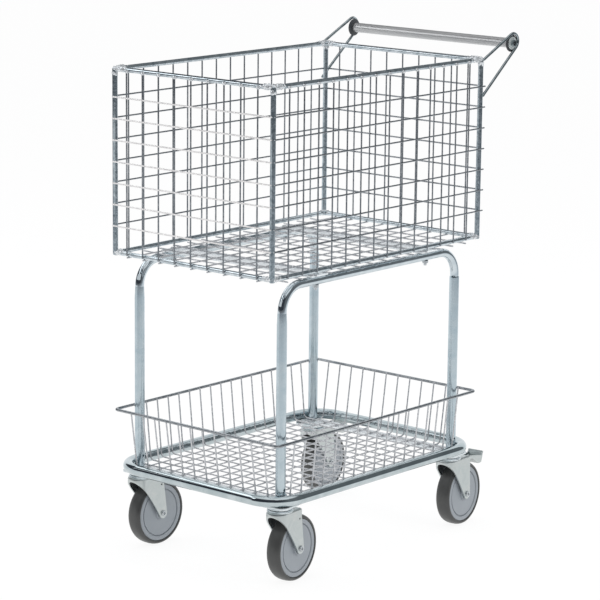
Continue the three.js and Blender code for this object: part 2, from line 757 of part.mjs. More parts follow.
function fork(hasBrake) {
  const pastHeel = PEDAL_HINGE_REACH + 2 * PEDAL_EAR;
  const low = wheelRadius - 2 * FORK_EYE;
  const pressing = plate(forkPlan(forkOuter, pastHeel), crownTop - low, low);
  const inside = plate(forkPlan(forkInner, 2 * pastHeel), crownBottom - low + FORK_PLATE, low - FORK_PLATE);
  const openTopY = CROWN_HEEL + pastHeel / 2;
  const openTop = box(2 * forkInner, pastHeel, 2 * CROWN_PLATE, 0, openTopY, crownBottom - CROWN_PLATE / 2);
  const side = sideProfile(forkSide(hasBrake), -2 * forkOuter, 2 * forkOuter);
  const across = (y, z, diameter) => rod(
    [point(-2 * forkOuter, y, z), point(2 * forkOuter, y, z)],
    diameter + 2 * BORE_GAP,
    PIN_SIDES,
  );
  const pinHole = kingPinHole(crownBottom - CROWN_PLATE, crownTop + CROWN_PLATE);
  const holes = [pinHole, across(SWIVEL_TRAIL, wheelRadius, AXLE_DIAMETER)];
  if (hasBrake) {
    holes.push(across(PEDAL_HINGE_REACH, pedalHingeZ, PEDAL_PIN_DIAMETER));
  }
  return pressing.intersect(side).subtract(join([inside, openTop, ...holes]));
}

function topPlateWithRace() {
  const half = TOP_PLATE_SIDE / 2;
  const straight = half - TOP_PLATE_CORNER;
  const outline = new THREE.Shape();
  outline.absarc(straight, straight, TOP_PLATE_CORNER, 0, Math.PI / 2, false);
  outline.absarc(-straight, straight, TOP_PLATE_CORNER, Math.PI / 2, Math.PI, false);
  outline.absarc(-straight, -straight, TOP_PLATE_CORNER, Math.PI, 1.5 * Math.PI, false);
  outline.absarc(straight, -straight, TOP_PLATE_CORNER, 1.5 * Math.PI, 2 * Math.PI, false);
  const raceTop = topPlateBottom + TOP_PLATE / 2;
  const race = turnedUpright([
    [0, raceBottom],
    [RACE_DIAMETER / 2, raceBottom],
    [RACE_DIAMETER / 2, raceTop],
    [0, raceTop],
  ], SWIVEL_SIDES);
  const pinHole = kingPinHole(raceBottom - TOP_PLATE, topPlateTop + TOP_PLATE);
  return join([plate(outline, TOP_PLATE, topPlateBottom), race]).subtract(pinHole);
}

function kingPin() {
  const shank = KING_PIN_DIAMETER / 2;
  const nut = KING_NUT_DIAMETER / 2;
  const nutTop = crownBottom - RUN_GAP;
  return turnedUpright([
    [0, nutTop - KING_NUT_HEIGHT],
    [nut, nutTop - KING_NUT_HEIGHT],
    [nut, nutTop],
    [shank, nutTop],
    [shank, topPlateTop],
    [0, topPlateTop],
  ], PIN_SIDES);
}

// A tray with two side walls, a sloping floor and a lip turned up at its far end
function brakePedal() {
  const sheet = PEDAL_SHEET;
  const barrelRadius = PEDAL_BARREL_DIAMETER / 2;
  const along = (run, rise) => new THREE.Vector2(PEDAL_HINGE_REACH + run, pedalHingeZ + rise);
  const lipRun = PEDAL_FLOOR_END + PEDAL_LIP_RUN;
  const lipTop = PEDAL_LIP_RISE - PEDAL_FLOOR_DROP;
  const underside = [
    along(PEDAL_SLOPE_START, -PEDAL_SLOPE_DROP),
    along(PEDAL_FLOOR_START, -PEDAL_FLOOR_DROP),
    along(PEDAL_FLOOR_END, -PEDAL_FLOOR_DROP),
    along(lipRun, lipTop),
    along(lipRun - sheet, lipTop),
  ];
  const floorOutline = new THREE.Shape([
    ...underside,
    along(PEDAL_FLOOR_END - sheet / 2, sheet - PEDAL_FLOOR_DROP),
    along(PEDAL_FLOOR_START + sheet / 2, sheet - PEDAL_FLOOR_DROP),
    along(PEDAL_SLOPE_START, sheet - PEDAL_SLOPE_DROP),
  ]);
  const wallOutline = new THREE.Shape([
    along(0, -barrelRadius),
    ...underside,
    along(PEDAL_FLOOR_END, -PEDAL_WALL_DROP),
    along(0, barrelRadius),
  ]);
  const half = PEDAL_WIDTH / 2;
  const floor = sideProfile(floorOutline, -half, half);
  const leftWall = sideProfile(wallOutline, -half, sheet - half);
  const rightWall = sideProfile(wallOutline, half - sheet, half);
  const across = (reach, diameter) => rod(
    [point(-reach, PEDAL_HINGE_REACH, pedalHingeZ), point(reach, PEDAL_HINGE_REACH, pedalHingeZ)],
    diameter,
    PIN_SIDES,
  );
  const barrel = across(forkInner - RUN_GAP, PEDAL_BARREL_DIAMETER);
  const pin = across(forkOuter, PEDAL_PIN_DIAMETER);
  return join([floor, leftWall, rightWall, barrel, pin]);
}

function addCaster(place, x, y, heading, hasBrake) {
  const caster = new THREE.Group();
  caster.position.set(x, y, 0);
  caster.rotation.z = THREE.MathUtils.degToRad(heading);
  cart.add(caster);
  addPiece(`caster_plate_${place}`, topPlateWithRace(), 'zincPlate', caster);
  addPiece(`king_pin_${place}`, kingPin(), 'steelBolt', caster);
  addPiece(`fork_${place}`, fork(hasBrake), 'zincPlate', caster);
  addPiece(`axle_${place}`, axle(), 'steelBolt', caster);
  addPiece(`hub_${place}`, hub(), 'hubPlastic', caster);
  addPiece(`tyre_${place}`, tyre(), 'tyreRubber', caster);
  if (hasBrake) {
    addPiece(`brake_pedal_${place}`, brakePedal(), 'zincPlate', caster);
  }
}

addUpperBasket();
addHandle();
addFrame();
addBase();
addLowerBasket();
addCaster('front_left', -casterX, -casterY, LEFT_FRONT_HEADING, false);
addCaster('front_right', casterX, -casterY, OTHER_HEADING, false);
addCaster('rear_left', -casterX, casterY, OTHER_HEADING, true);
addCaster('rear_right', casterX, casterY, OTHER_HEADING, true);

const bounds = new THREE.Box3().setFromObject(cart);
cart.position.y = -(bounds.min.y + bounds.max.y) / 2;

export default cart;
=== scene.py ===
import math

import bpy
from mathutils import Matrix, Vector


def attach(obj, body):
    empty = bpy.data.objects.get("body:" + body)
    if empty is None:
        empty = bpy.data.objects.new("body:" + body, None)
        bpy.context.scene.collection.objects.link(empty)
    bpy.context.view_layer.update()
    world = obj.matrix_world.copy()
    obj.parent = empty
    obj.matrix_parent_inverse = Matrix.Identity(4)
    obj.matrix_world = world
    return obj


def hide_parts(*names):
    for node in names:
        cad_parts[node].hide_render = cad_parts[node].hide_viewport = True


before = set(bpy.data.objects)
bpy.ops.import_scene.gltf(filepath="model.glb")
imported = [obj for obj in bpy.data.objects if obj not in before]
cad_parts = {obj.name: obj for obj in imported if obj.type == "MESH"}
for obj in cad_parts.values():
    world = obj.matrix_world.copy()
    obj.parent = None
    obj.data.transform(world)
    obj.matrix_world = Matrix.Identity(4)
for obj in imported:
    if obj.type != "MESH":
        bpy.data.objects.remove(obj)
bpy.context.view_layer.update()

# Sizes are in millimetres from the centre of the base, with the ground at zero.
# The frame's origin lies under the middle of the whole length, so Y is moved by this much.
MM = 0.001
SAME_PLACE = 0.002 * MM
SMOOTH_ANGLE = 38
LENGTH_SHIFT = -51.0683

# Upper basket
RIM_X = 191
RIM_Y = 297
RIM_BEND = 13.8
RIM_ROD = 9
TOP_RIM_Z = 917.3
BOTTOM_RIM_Z = 575.3
POST_X = 193.1
POST_Y = 299.1
POST_ROD = 10
POST_RISE = 2.5
WIRE = 3
MESH_PITCH = 40
END_WIRES = 9
SIDE_WIRES = 14
LEVELS = 7
FIRST_END_WIRE = -160
FIRST_SIDE_WIRE = -260
FIRST_LEVEL = 626.3
UPRIGHT_OUT = 5.7
LEVEL_OUT = 8.3
TOP_WELD_RUN = ((9, 14), (17, 13), (25, 10))
BOTTOM_WELD_RUN = ((9, 12), (17, 10))
CORNER_LUMP = 17
POST_LUMP = 12.5
JOINT_LUMP = 8.5
POST_LUMP_DROP = 8
POST_BEAD = 4
POST_BEAD_OUT = 4
RIM_LAP_BEAD = 7.5
RIM_LAP_OUT = 5.2
RIM_LAP_DROP = 2.5
LAP_BEAD = 3.4
LAP_BEAD_OUT = 1.6
WIRE_BEAD = 3
UPRIGHT_LAP = 2
RIM_JOINTS = ((25, -RIM_Y), (RIM_X, -72), (RIM_X, 122), (-RIM_X, 40), (-30, RIM_Y))
FLOOR_LONG_Z = 569.6
FLOOR_CROSS_Z = 567.0

# Frames, base ring and lower basket
FRAME_TUBE = 16.8
LEG_TUBE = 18.8
SEAM_Z = 503
FRAME_TUCK = 8
SWAGE_START = 18
SWAGE_END = 4
FRAME_BEND = 47
LEG_X = 176.66
LEG_Y = 252.03
LEG_FOOT_Z = 157.1
LEG_HOLE = 4.5
LEG_HOLE_Z = 181
LEG_SLOT = 6
LEG_SLOT_SHIFT = (3.4, -8.4, -1)
LEG_SLOT_SQUASH = (1.4, 1.4, 0.75)
FOOT_WELD_Z = 171.4
FOOT_WELD = 7
FOOT_WELD_BESIDE = 6
FRAME_AXIS_Z = 553.7
STRIP_Y = (-160, 160)
BASKET_NUT = 10
BASKET_NUT_HEIGHT = 4.8
BASKET_NUT_Z = 543
RING_X = 203
RING_Y = 291
RING_Z = 163.4
RING_BEND = 60
RING_TUBE = 20.9
TRAY_FLOOR_X = 188.5
TRAY_FLOOR_Y = 271
TRAY_RIM_X = 204
TRAY_RIM_Y = 291.5
TRAY_RIM_Z = 272.2
TRAY_RIM_ROD = 5.5
TRAY_LAP = 3.85
TRAY_BEND = 9
TRAY_PITCH = 30
CROSS_WIRES = 17
FIRST_CROSS_WIRE = -240
LONG_WIRES = 12
FIRST_LONG_WIRE = -165
TRAY_LONG_Z = 158.6
TRAY_CROSS_Z = 161.2

# Handle
HANDLE_Y = 390.4
HANDLE_Z = 941.8
HANDLE_TUBE = 19
BRACKET_X = 200.5
BRACKET_ROD = 5.4
BRACKET_FOOT_Y = 297.1
BRACKET_HIGH_Z = 917.3
BRACKET_LOW_Z = 848.3
LOOP_RADIUS = 15.6
LOOP_Z = 945.1
CAP_FACE = 197.6
CAP_PLATE = 4
CAP_RADIUS = 17
CAP_BORE = 4.4
HANDLE_WASHER = 12.6
HANDLE_WASHER_PLATE = 2
HANDLE_BOLT = 3.8
HANDLE_BOLT_END = 164
HANDLE_HEAD = 12
HANDLE_HEAD_HEIGHT = 5

# Casters, about their own king pin with the wheel trailing to +Y
CASTERS = {
    "front_left": (-174.4, -250.2, -1),
    "front_right": (174.4, -250.2, 6),
    "rear_left": (-174.4, 250.2, 6),
    "rear_right": (174.4, 250.2, 6),
}
BRAKED = ("rear_left", "rear_right")
TRAIL = 38
AXLE_Z = 62.5
AXLE_NUT = 12
AXLE_NUT_HEIGHT = 3
AXLE_NUT_OUT = 22.9
FORK_HALF = 21
FORK_SHEET = 3
FORK_TOP = 141.1
BLANK_END = 70
BLANK_LOW = 40
CROWN_ROUND = 5
NOSE_REACH = 28
NOSE_DEPTH = 6
EDGE_RISE = 6
CROWN_HEEL = 34
EYE = 10
FORK_HEEL = 40
PEDAL_EAR = 6
FORK_HOLE = (33.5, 120.3)
FORK_HOLE_SIZE = 4
HINGE_Y = 41
HINGE_Z = 134.9
PEDAL_WIDTH = 34
PEDAL_SHEET = 2.2
TOP_PLATE_Z = 149.2
TOP_PLATE = 3.5
TOP_PLATE_HALF = 28
TOP_PLATE_CORNER = 12

UP = Vector((0, 0, 1))
ACROSS = Vector((1, 0, 0))


def place(x, y, z):
    """A place on the cart, as it is measured from the centre of the base."""
    return Vector((x, y + LENGTH_SHIFT, z)) * MM


def spot(x, y, z):
    """A step, or a place on a caster about its own king pin."""
    return Vector((x, y, z)) * MM


# Bench work: selecting, edit mode, modifiers

def clear_bench():
    bpy.ops.object.select_all(action="DESELECT")


def take(first, *others):
    clear_bench()
    for piece in (first, *others):
        piece.select_set(True)
    bpy.context.view_layer.objects.active = first


def settle(piece):
    take(piece)
    bpy.ops.object.transform_apply(location=True, rotation=True, scale=True)
    return piece


def open_up(piece, select="SELECT"):
    take(piece)
    bpy.ops.object.mode_set(mode="EDIT")
    bpy.ops.mesh.select_all(action=select)


def close_up():
    bpy.ops.object.mode_set(mode="OBJECT")


def draw_out(move):
    bpy.ops.mesh.extrude_region_move(TRANSFORM_OT_translate={"value": move})


def press(piece, kind, **settings):
    take(piece)
    modifier = piece.modifiers.new(kind.lower(), kind)
    for setting, value in settings.items():
        setattr(modifier, setting, value)
    bpy.ops.object.modifier_apply(modifier=modifier.name)
    return piece


def soften(piece, width, segments=2, angle=50):
    return press(
        piece, "BEVEL", width=width * MM, segments=segments,
        limit_method="ANGLE", angle_limit=math.radians(angle),
    )


def repeat(piece, count, step):
    return press(
        piece, "ARRAY", count=count, use_relative_offset=False,
        use_constant_offset=True, constant_offset_displace=step,
    )


def trim(piece, tool, operation):
    press(piece, "BOOLEAN", operation=operation, object=tool, solver="EXACT")
    bpy.data.objects.remove(tool)
    return piece


def mend(piece):
    open_up(piece)
    bpy.ops.mesh.remove_doubles(threshold=SAME_PLACE)
    bpy.ops.mesh.normals_make_consistent(inside=False)
    close_up()
    return piece


def together(first, *others):
    take(first, *others)
    bpy.ops.object.join()
    return first


def copy_of(piece):
    take(piece)
    bpy.ops.object.duplicate(linked=False)
    return bpy.context.object


def select_faces(piece, wanted):
    bpy.ops.mesh.select_all(action="DESELECT")
    close_up()
    for face in piece.data.polygons:
        face.select = wanted(face)
    bpy.ops.object.mode_set(mode="EDIT")


# Shapes that come up again and again

def rod_section(start, way, diameter, sides):
    """A circle set square to the way that a rod sets out."""
    heading = way.to_track_quat("Z", "Y").to_euler()
    clear_bench()
    bpy.ops.mesh.primitive_circle_add(
        vertices=sides, radius=diameter / 2 * MM, location=start, rotation=heading,
    )
    return settle(bpy.context.object)


def bent_rod(points, diameter, bend=0, sides=12, steps=6, closed=False):
    """A round rod run through the points, with every corner bent to one radius."""
    start = (points[0] + points[1]) / 2 if closed else points[0]
    end = start if closed else points[-1]
    corners = points[1:] + points[:1] if closed else points[1:-1]
    rod = rod_section(start, points[1] - points[0], diameter, sides)
    open_up(rod)
    here = start
    for index, corner in enumerate(corners):
        after = corners[index + 1] if index + 1 < len(corners) else end
        into = (corner - here).normalized()
        out = (after - corner).normalized()
        turn = into.angle(out)
        setback = bend * MM * math.tan(turn / 2)
        tangent = corner - into * setback
        axis = into.cross(out).normalized()
        draw_out(tangent - here)
        centre = tangent + axis.cross(into) * bend * MM
        bpy.ops.mesh.spin(steps=steps, angle=-turn, center=centre, axis=axis)
        here = corner + out * setback
    draw_out(end - here)
    close_up()
    return finish_rod(rod, diameter, closed)


def finish_rod(rod, diameter, closed):
    """Closes a rod's ends, unless it is a ring, and rounds them off."""
    mend(rod)
    if not closed:
        open_up(rod)
        bpy.ops.mesh.fill_holes(sides=0)
        bpy.ops.mesh.normals_make_consistent(inside=False)
        close_up()
        soften(rod, diameter * 0.14, segments=2, angle=60)
    return rod


def trace(points):
    """A chain of edges drawn out point by point."""
    clear_bench()
    bpy.ops.mesh.primitive_plane_add(size=MM, location=points[0])
    chain = settle(bpy.context.object)
    open_up(chain)
    bpy.ops.mesh.merge(type="CENTER")
    for before, after in zip(points, points[1:]):
        bpy.ops.mesh.extrude_vertices_move(TRANSFORM_OT_translate={"value": after - before})
    close_up()
    return chain


def slab(points, thickness):
    """A flat outline filled and drawn out to a thickness."""
    piece = trace(points + points[:1])
    open_up(piece)
    bpy.ops.mesh.remove_doubles(threshold=SAME_PLACE)
    bpy.ops.mesh.edge_face_add()
    draw_out(thickness)
    bpy.ops.mesh.select_all(action="SELECT")
    bpy.ops.mesh.normals_make_consistent(inside=False)
    close_up()
    return piece


def turned(profile, axis, centre=Vector((0, 0, 0)), steps=40):
    """A turned piece: pairs of radius and distance along the axis, spun full circle."""
    outward = UP if axis.x else ACROSS
    piece = trace([centre + (axis * along + outward * radius) * MM for radius, along in profile])
    open_up(piece)
    bpy.ops.mesh.spin(steps=steps, angle=2 * math.pi, center=centre, axis=axis)
    close_up()
    return mend(piece)


def mirrored(half):
    """A closed profile from the half on one side of its middle."""
    profile = half + [(radius, -along) for radius, along in reversed(half)]
    return profile + profile[:1]


def hexagon(across_flats, height, axis, centre):
    """A hexagon nut or head with its corners turned off."""
    heading = axis.to_track_quat("Z", "Y").to_euler()
    corner = across_flats / math.sqrt(3)
    clear_bench()
    bpy.ops.mesh.primitive_cylinder_add(
        vertices=6, radius=corner * MM, depth=height * MM, location=centre, rotation=heading,
    )
    nut = settle(bpy.context.object)
    face = across_flats * 0.48
    edge = corner + 0.2
    half = height / 2
    shoulder = half * 0.55
    cone = [(0, -half), (face, -half), (edge, -shoulder), (edge, shoulder), (face, half), (0, half)]
    return trim(nut, turned(cone, axis, centre, 36), "INTERSECT")


def arc(centre, radius, start, end, steps):
    """Points of an arc in a plane, as pairs; angles in degrees."""
    points = []
    for step in range(steps + 1):
        angle = math.radians(start + (end - start) * step / steps)
        points.append((centre[0] + radius * math.cos(angle), centre[1] + radius * math.sin(angle)))
    return points


def bowed(start, end, lift, steps):
    """Points between two ends of a curve whose middle is pulled off the straight line."""
    points = []
    for step in range(1, steps):
        share = step / steps
        pull = 2 * share * (1 - share)
        points.append(tuple(a + (b - a) * share + away * pull for a, b, away in zip(start, end, lift)))
    return points


def bead(centre, size, squash):
    """A small weld bead, low and round."""
    clear_bench()
    bpy.ops.mesh.primitive_uv_sphere_add(segments=8, ring_count=5, radius=size / 2 * MM, location=centre)
    piece = bpy.context.object
    piece.scale = squash
    return settle(piece)


WELD_SKIN = bpy.data.textures.new("weld_skin", "CLOUDS")
WELD_SKIN.noise_scale = 0.004
WELD_SKIN.noise_depth = 2


def weld_lump(centre, size, squash):
    """An uneven hand weld, lumpy all over."""
    clear_bench()
    bpy.ops.mesh.primitive_ico_sphere_add(subdivisions=3, radius=size / 2 * MM, location=centre)
    piece = bpy.context.object
    piece.scale = squash
    settle(piece)
    return press(
        piece, "DISPLACE", texture=WELD_SKIN, texture_coords="LOCAL",
        strength=size * 0.35 * MM, mid_level=0.6,
    )


# Finishes

def new_group(name, scales):
    """A node group that takes a vector and two scales, and gives a tone and a height."""
    group = bpy.data.node_groups.new(name, "ShaderNodeTree")
    group.interface.new_socket(name="Vector", in_out="INPUT", socket_type="NodeSocketVector")
    for scale in scales:
        group.interface.new_socket(name=scale, in_out="INPUT", socket_type="NodeSocketFloat")
    for result in ("Tone", "Height"):
        group.interface.new_socket(name=result, in_out="OUTPUT", socket_type="NodeSocketFloat")
    return group, group.nodes.new("NodeGroupInput"), group.nodes.new("NodeGroupOutput")


def scaled_noise(group, inner, scale, detail):
    noise = group.nodes.new("ShaderNodeTexNoise")
    noise.inputs["Detail"].default_value = detail
    group.links.new(inner.outputs["Vector"], noise.inputs["Vector"])
    group.links.new(inner.outputs[scale], noise.inputs["Scale"])
    return noise


def plating_group():
    """Zinc plating: a cloudy bloom, and the small waves of the drawn metal under it."""
    group, inner, outer = new_group("zinc_plating", ("Cloud Scale", "Wave Scale"))
    cloud = scaled_noise(group, inner, "Cloud Scale", 5)
    cloud.inputs["Roughness"].default_value = 0.6
    cloud.inputs["Distortion"].default_value = 0.8
    wave = scaled_noise(group, inner, "Wave Scale", 3)
    bloom = group.nodes.new("ShaderNodeMapRange")
    bloom.inputs["From Min"].default_value = 0.32
    bloom.inputs["From Max"].default_value = 0.68
    height = group.nodes.new("ShaderNodeMath")
    height.operation = "MULTIPLY_ADD"
    height.inputs[1].default_value = 0.35
    group.links.new(cloud.outputs["Fac"], bloom.inputs["Value"])
    group.links.new(wave.outputs["Fac"], height.inputs[0])
    group.links.new(cloud.outputs["Fac"], height.inputs[2])
    group.links.new(bloom.outputs["Result"], outer.inputs["Tone"])
    group.links.new(height.outputs["Value"], outer.inputs["Height"])
    return group


def skin_group():
    """Moulded plastic and rubber: a slow drift of tone and a fine skin grain."""
    group, inner, outer = new_group("moulded_skin", ("Drift Scale", "Grain Scale"))
    for scale, result, detail in (("Drift Scale", "Tone", 4), ("Grain Scale", "Height", 2)):
        noise = scaled_noise(group, inner, scale, detail)
        group.links.new(noise.outputs["Fac"], outer.inputs[result])
    return group


PLATING = plating_group()
SKIN = skin_group()


def mix_colours(nodes, links, factor, first, second):
    """Mixes two colours; each is another node's output or plain numbers."""
    mix = nodes.new("ShaderNodeMix")
    mix.data_type = "RGBA"
    for name, colour in (("A", first), ("B", second)):
        if isinstance(colour, tuple):
            mix.inputs[name].default_value = (*colour, 1)
        else:
            links.new(colour, mix.inputs[name])
    links.new(factor, mix.inputs["Factor"])
    return mix.outputs["Result"]


def grouped_finish(name, group, scales, colours, gloss, relief, metal):
    """A finish whose tone, gloss and relief come from one of the node groups."""
    finish = bpy.data.materials.new(name)
    finish.use_nodes = True
    nodes, links = finish.node_tree.nodes, finish.node_tree.links
    shader = nodes["Principled BSDF"]
    shader.inputs["Metallic"].default_value = metal
    coordinates = nodes.new("ShaderNodeTexCoord")
    surface = nodes.new("ShaderNodeGroup")
    surface.node_tree = group
    for scale, value in scales.items():
        surface.inputs[scale].default_value = value
    links.new(coordinates.outputs["Object"], surface.inputs["Vector"])
    tone = surface.outputs["Tone"]
    links.new(mix_colours(nodes, links, tone, *colours), shader.inputs["Base Color"])
    rough = nodes.new("ShaderNodeMapRange")
    rough.inputs["To Min"].default_value, rough.inputs["To Max"].default_value = gloss
    links.new(tone, rough.inputs["Value"])
    links.new(rough.outputs["Result"], shader.inputs["Roughness"])
    bump = nodes.new("ShaderNodeBump")
    bump.inputs["Distance"].default_value, bump.inputs["Strength"].default_value = relief
    links.new(surface.outputs["Height"], bump.inputs["Height"])
    links.new(bump.outputs["Normal"], shader.inputs["Normal"])
    return finish


def zinc(name, dark, light, gloss, cloud=45, wave=900, relief=0.25, metal=1):
    """Bright zinc plate; gloss is the roughness where it is clear and where it is bloomed."""
    scales = {"Cloud Scale": cloud, "Wave Scale": wave}
    return grouped_finish(name, PLATING, scales, (dark, light), gloss, (0.0004, relief), metal)


def moulded(name, dark, light, gloss, drift=20, grain=1500, relief=0.2, metal=0):
    """Plastic or rubber from a mould; gloss is the roughness at both ends of the drift."""
    scales = {"Drift Scale": drift, "Grain Scale": grain}
    return grouped_finish(name, SKIN, scales, (dark, light), gloss, (0.0003, relief), metal)


TUBE_ZINC = zinc("tube_zinc", (0.45, 0.54, 0.59), (0.62, 0.70, 0.74), (0.12, 0.26), cloud=30)
# The bent U of each side frame: a glossier, lighter copy of the tube zinc; the low roughness is the polish
# of the bends, the lighter colour a painted highlight on them.
BEND_HIGHLIGHT_ZINC = zinc(
    "bend_highlight_zinc", (0.58, 0.65, 0.69), (0.74, 0.80, 0.83), (0.04, 0.11), cloud=30, relief=0.1,
)
RING_ZINC = zinc(
    "ring_zinc", (0.46, 0.53, 0.55), (0.62, 0.68, 0.70), (0.05, 0.12), cloud=25, relief=0.08,
)
ROD_ZINC = zinc(
    "rod_zinc", (0.42, 0.49, 0.53), (0.80, 0.85, 0.88), (0.07, 0.18), cloud=80, relief=0.3, metal=0.97,
)
POST_ZINC = zinc(
    "post_zinc", (0.30, 0.36, 0.39), (0.66, 0.72, 0.75), (0.07, 0.20), cloud=140, relief=0.5,
)
WIRE_ZINC = zinc(
    "wire_zinc", (0.27, 0.29, 0.31), (0.47, 0.49, 0.51), (0.18, 0.34), cloud=120, relief=0.4,
)
NET_ZINC = zinc(
    "net_zinc", (0.48, 0.49, 0.51), (0.70, 0.71, 0.73), (0.18, 0.32), cloud=120, metal=0.6,
)
# Front panel level wires: a light, half-matt copy of the wire zinc, a painted highlight where they catch
# the light; the rear levels keep the darker wire zinc.
FRONT_LEVEL_HIGHLIGHT_ZINC = zinc(
    "front_level_highlight_zinc", (0.72, 0.71, 0.71), (0.93, 0.91, 0.90), (0.20, 0.32), cloud=120, metal=0.3,
)
BRACKET_ZINC = zinc(
    "bracket_zinc", (0.26, 0.30, 0.31), (0.46, 0.51, 0.53), (0.08, 0.18), cloud=80, relief=0.3,
)
WASHER_ZINC = zinc(
    "washer_zinc", (0.46, 0.51, 0.51), (0.86, 0.91, 0.90), (0.08, 0.22), cloud=220, metal=0.5,
)
WELD_ZINC = zinc(
    "weld_zinc", (0.58, 0.62, 0.65), (0.95, 0.96, 0.97), (0.08, 0.22), cloud=300, relief=1.0, metal=0.6,
)
SHEET_ZINC = zinc(
    "sheet_zinc", (0.53, 0.58, 0.58), (0.67, 0.70, 0.69), (0.30, 0.44), cloud=40, wave=1400, relief=0.2,
)
# Floor strips and caster strips: near white and almost matt instead of plain zinc, painted light that
# brightens them where they lie in shade under the wire floor and the ring.
PAINTED_LIGHT_STRIP_ZINC = zinc(
    "painted_light_strip_zinc", (0.86, 0.92, 0.95), (0.95, 0.98, 1.0), (0.22, 0.36), cloud=30, metal=0.05,
)
# Ball race and caster top plate: bright, half-matt zinc; partly the race's own bright plating, partly
# painted light that keeps the plate from going dark in the shade under the ring.
RACE_ZINC = zinc(
    "race_zinc", (0.60, 0.67, 0.70), (0.84, 0.88, 0.90), (0.08, 0.20), cloud=60, metal=0.6,
)
BOLT_ZINC = zinc(
    "bolt_zinc", (0.50, 0.53, 0.55), (0.70, 0.73, 0.75), (0.22, 0.38), cloud=160, metal=0.6,
)
GRIP_GREY = moulded(
    "grip_grey", (0.50, 0.50, 0.50), (0.58, 0.58, 0.58), (0.24, 0.36), drift=12, metal=0.7,
)
CAP_GREY = moulded("cap_grey", (0.030, 0.034, 0.038), (0.055, 0.06, 0.066), (0.35, 0.5))
HUB_GREY = moulded("hub_grey", (0.27, 0.30, 0.33), (0.34, 0.37, 0.40), (0.34, 0.46), drift=30)
TYRE_RUBBER = moulded(
    "tyre_rubber", (0.042, 0.044, 0.044), (0.078, 0.079, 0.077), (0.28, 0.44),
    drift=40, grain=900, relief=0.3,
)


def hand_over(piece, name, finish, slot, body, *nodes):
    """Names a finished piece, gives it its finish and puts it on its body."""
    take(piece)
    bpy.ops.object.shade_smooth_by_angle(angle=math.radians(SMOOTH_ANGLE))
    press(piece, "WEIGHTED_NORMAL", keep_sharp=True)
    piece.name = name
    piece.data.name = name
    piece.data.materials.clear()
    piece.data.materials.append(finish)
    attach(piece, body)
    if nodes:
        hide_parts(*nodes)


# Upper basket

def rectangle(x, y, z):
    return [place(x, -y, z), place(x, y, z), place(-x, y, z), place(-x, -y, z)]


def make_rims():
    for name, z in (("basket_top_rim", TOP_RIM_Z), ("basket_bottom_rim", BOTTOM_RIM_Z)):
        rim = bent_rod(rectangle(RIM_X, RIM_Y, z), RIM_ROD, RIM_BEND, sides=20, steps=8, closed=True)
        hand_over(rim, f"{name}_rod", ROD_ZINC, "zinc_tube", "cart", name)


def make_posts():
    low = BOTTOM_RIM_Z - RIM_ROD / 2
    high = TOP_RIM_Z + POST_RISE
    for end, y in (("front", -POST_Y), ("rear", POST_Y)):
        for hand, x in (("left", -POST_X), ("right", POST_X)):
            post = bent_rod([place(x, y, low), place(x, y, high)], POST_ROD, sides=20)
            soften(post, POST_ROD * 0.2, segments=3, angle=25)
            node = f"corner_post_{end}_{hand}"
            hand_over(post, f"{node}_rod", POST_ZINC, "zinc_tube", "cart", node)


def wire_row(start, end, count, step):
    return repeat(bent_rod([start, end], WIRE, sides=10), count, step)


def bead_grid(centre, size, squash, first_count, first_step, second_count, second_step):
    beads = repeat(bead(centre, size, squash), first_count, first_step)
    return repeat(beads, second_count, second_step)


def flattened(wide, thin, axis):
    """A squash for a bead that lies flat across one axis."""
    squash = [wide, wide, wide]
    squash[axis] = thin
    return squash


def wall_wires(at, step, first, count, reach, out_axis):
    """Uprights, levels, welds and rim laps of one wall of the basket.

    at() makes a place of the run along the wall, the way out from the rim and the height.
    """
    up = spot(0, 0, MESH_PITCH)
    low = BOTTOM_RIM_Z - UPRIGHT_LAP
    high = TOP_RIM_Z + UPRIGHT_LAP
    uprights = wire_row(at(first, UPRIGHT_OUT, low), at(first, UPRIGHT_OUT, high), count, step)
    start, end = reach
    levels = wire_row(at(start, LEVEL_OUT, FIRST_LEVEL), at(end, LEVEL_OUT, FIRST_LEVEL), LEVELS, up)
    crossing = at(first, (UPRIGHT_OUT + LEVEL_OUT) / 2, FIRST_LEVEL)
    welds = bead_grid(crossing, WIRE_BEAD, flattened(1.15, 0.8, out_axis), count, step, LEVELS, up)
    lap = at(first, UPRIGHT_OUT / 2 + LAP_BEAD_OUT, BOTTOM_RIM_Z)
    rim_step = spot(0, 0, TOP_RIM_Z - BOTTOM_RIM_Z)
    laps = bead_grid(lap, LAP_BEAD, flattened(1.2, 0.7, out_axis), count, step, 2, rim_step)
    return uprights, levels, welds, laps


def make_end_panel(node, side, level_finish):
    def at(along, out, z):
        return place(along, side * (RIM_Y + out), z)

    step = spot(MESH_PITCH, 0, 0)
    reach = (-POST_X - 1, POST_X + 1)
    uprights, levels, *beads = wall_wires(at, step, FIRST_END_WIRE, END_WIRES, reach, out_axis=1)
    hand_over(together(uprights, *beads), f"{node}_uprights", WIRE_ZINC, "zinc_wire", "cart", node)
    hand_over(levels, f"{node}_levels", level_finish, "zinc_wire", "cart")


def make_side_panel(node, side):
    def at(along, out, z):
        return place(side * (RIM_X + out), along, z)

    step = spot(0, MESH_PITCH, 0)
    reach = (-POST_Y, POST_Y + POST_ROD / 2 + 2)
    wires = wall_wires(at, step, FIRST_SIDE_WIRE, SIDE_WIRES, reach, out_axis=0)
    hand_over(together(*wires), f"{node}_wires", WIRE_ZINC, "zinc_wire", "cart", node)


